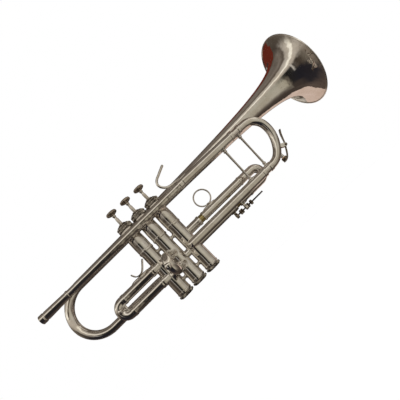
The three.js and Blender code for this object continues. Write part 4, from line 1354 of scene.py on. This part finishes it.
ceiling = add_node(tree, "ShaderNodeValToRGB", {"Fac": parts.outputs["Z"]}, stops=[
    (0.30, "#b3aa9d"), (0.42, "#bcb3a5"), (BRIGHT_LOW, "#f6f0df"), (BRIGHT_HIGH, "#f8f3e6"),
    (0.58, "#c3bbae"), (0.73, "#aaa297"), (0.80, "#5c534a"), (0.85, "#625950"), (0.93, "#786f66"),
    (1.0, "#635b53")])
behind = add_node(tree, "ShaderNodeValToRGB", {"Fac": parts.outputs["Z"]}, stops=[
    (0.15, "#b5ada1"), (0.30, "#a69e93"), (0.42, "#6b635b"), (0.6, "#50483f"), (0.8, "#443c35"),
    (1.0, "#5f574f")])
print("the ceiling's bright strip is between", BRIGHT_LOW, "and", BRIGHT_HIGH, "of the way up")

# %% [markdown]
# ## Blending the colours
# Each colour gives way to the next over a span of directions. A hard edge between them would show
# as a line along every tube, so each span is a smooth step.

# %% Blend the colours of the room
def fade(first, second, along, begin, full, most=1.0):
    """One colour giving way to another, from where it begins to where it has its full share."""
    amount = add_node(
        tree, "ShaderNodeMapRange",
        {"Value": parts.outputs[along], "From Min": begin, "From Max": full, "To Max": most},
        interpolation_type="SMOOTHSTEP")
    blend = add_node(
        tree, "ShaderNodeMix", {"Factor": amount.outputs["Result"], "A": first, "B": second},
        data_type="RGBA")
    return blend.outputs["Result"]


above = fade(ceiling.outputs["Color"], behind.outputs["Color"], "Y", 0.1, 0.45)
upper = fade(walls.outputs["Color"], above, "Z", 0.12, 0.34)
lower = fade(upper, ground.outputs["Color"], "Z", -0.04, -0.32)
room = fade(lower, linear("#443b35"), "Z", -0.75, -1.0, most=0.8)
REFLECTED = 1.03
mirrored = add_node(tree, "ShaderNodeBackground", {"Color": room, "Strength": REFLECTED})
plain = add_node(tree, "ShaderNodeBackground", {"Color": linear("#FFFFFF"), "Strength": 1.0})
rays = add_node(tree, "ShaderNodeLightPath")
choice = add_node(
    tree, "ShaderNodeMixShader",
    {0: rays.outputs["Is Glossy Ray"], 1: plain.outputs[0], 2: mirrored.outputs[0]})
add_node(tree, "ShaderNodeOutputWorld", {"Surface": choice.outputs[0]})
print("the sky has", len(tree.nodes), "nodes")

# %% [markdown]
# ## Cards by the bell
# The flare mirrors things that stand close behind it, which the tubes don't see. Two plain cards
# give it those colours: a red-brown one above and a pinkish one below. Only reflections see them.

# %% Cards
CARD_Y = 160.0
# Each card is (colour, its middle line as (x, z) points, width).
cards = {
    "card_brown": ("#5e261b", [(312, 128), (313, 250), (314, 372)], 138),
    "card_pink": ("#cbb5a7", [(270, -300), (272, -160), (274, -15)], 170)}
for name, (colour, places, width) in cards.items():
    glow = bpy.data.materials.new(name)
    glow.use_nodes = True
    glow.node_tree.nodes.clear()
    shine = add_node(
        glow.node_tree, "ShaderNodeEmission", {"Color": linear(colour), "Strength": REFLECTED})
    add_node(glow.node_tree, "ShaderNodeOutputMaterial", {"Surface": shine.outputs[0]})
    route = [(x, CARD_Y, z) for x, z in places]
    points, faces = strip(route, FORWARD, [width] * len(route), 2.0)
    card_mesh = bpy.data.meshes.new(name)
    card_mesh.from_pydata([Vector(p) * MM for p in points], [], faces)
    card_mesh.materials.append(glow)
    card = bpy.data.objects.new(name, card_mesh)
    card.visible_camera = False
    card.visible_diffuse = False
    card.visible_shadow = False
    bpy.context.scene.collection.objects.link(card)
print("cards:", list(cards))

# %% [markdown]
# ## The floor
# A round pale table lies well below the horn. It is matt, and the metal doesn't mirror it. A square
# plane would do as well, but a disc has no corners that could show.

# %% Floor
FLOOR_X = 80
FLOOR_Z = -260.0
FLOOR_R = 900.0
PAPER_GLOW = 0.12
paper = bpy.data.materials.new("white_paper")
paper.use_nodes = True
paper_shader = paper.node_tree.nodes["Principled BSDF"]
paper_shader.inputs["Base Color"].default_value = linear("#FCFCFB")
paper_shader.inputs["Roughness"].default_value = 1.0
paper_shader.inputs["Emission Color"].default_value = linear("#FFFFFF")
paper_shader.inputs["Emission Strength"].default_value = PAPER_GLOW
disc_profile = [(-6, 0), (-6, FLOOR_R), (0, FLOOR_R), (0, 0)]
points, faces = lathe(disc_profile, (FLOOR_X, 0, FLOOR_Z), sides=128, soften=2)
floor_mesh = bpy.data.meshes.new("floor")
floor_mesh.from_pydata([p * MM for p in points], [], faces)
floor_mesh.materials.append(paper)
floor = bpy.data.objects.new("floor", floor_mesh)
floor.visible_glossy = False
bpy.context.scene.collection.objects.link(floor)
bpy.context.scene.view_settings.view_transform = "Standard"
print("floor at z =", FLOOR_Z)

# %% [markdown]
# ## The pieces made
# The finer pieces are counted.

# %% Count the pieces
print("pieces made:", len(made))
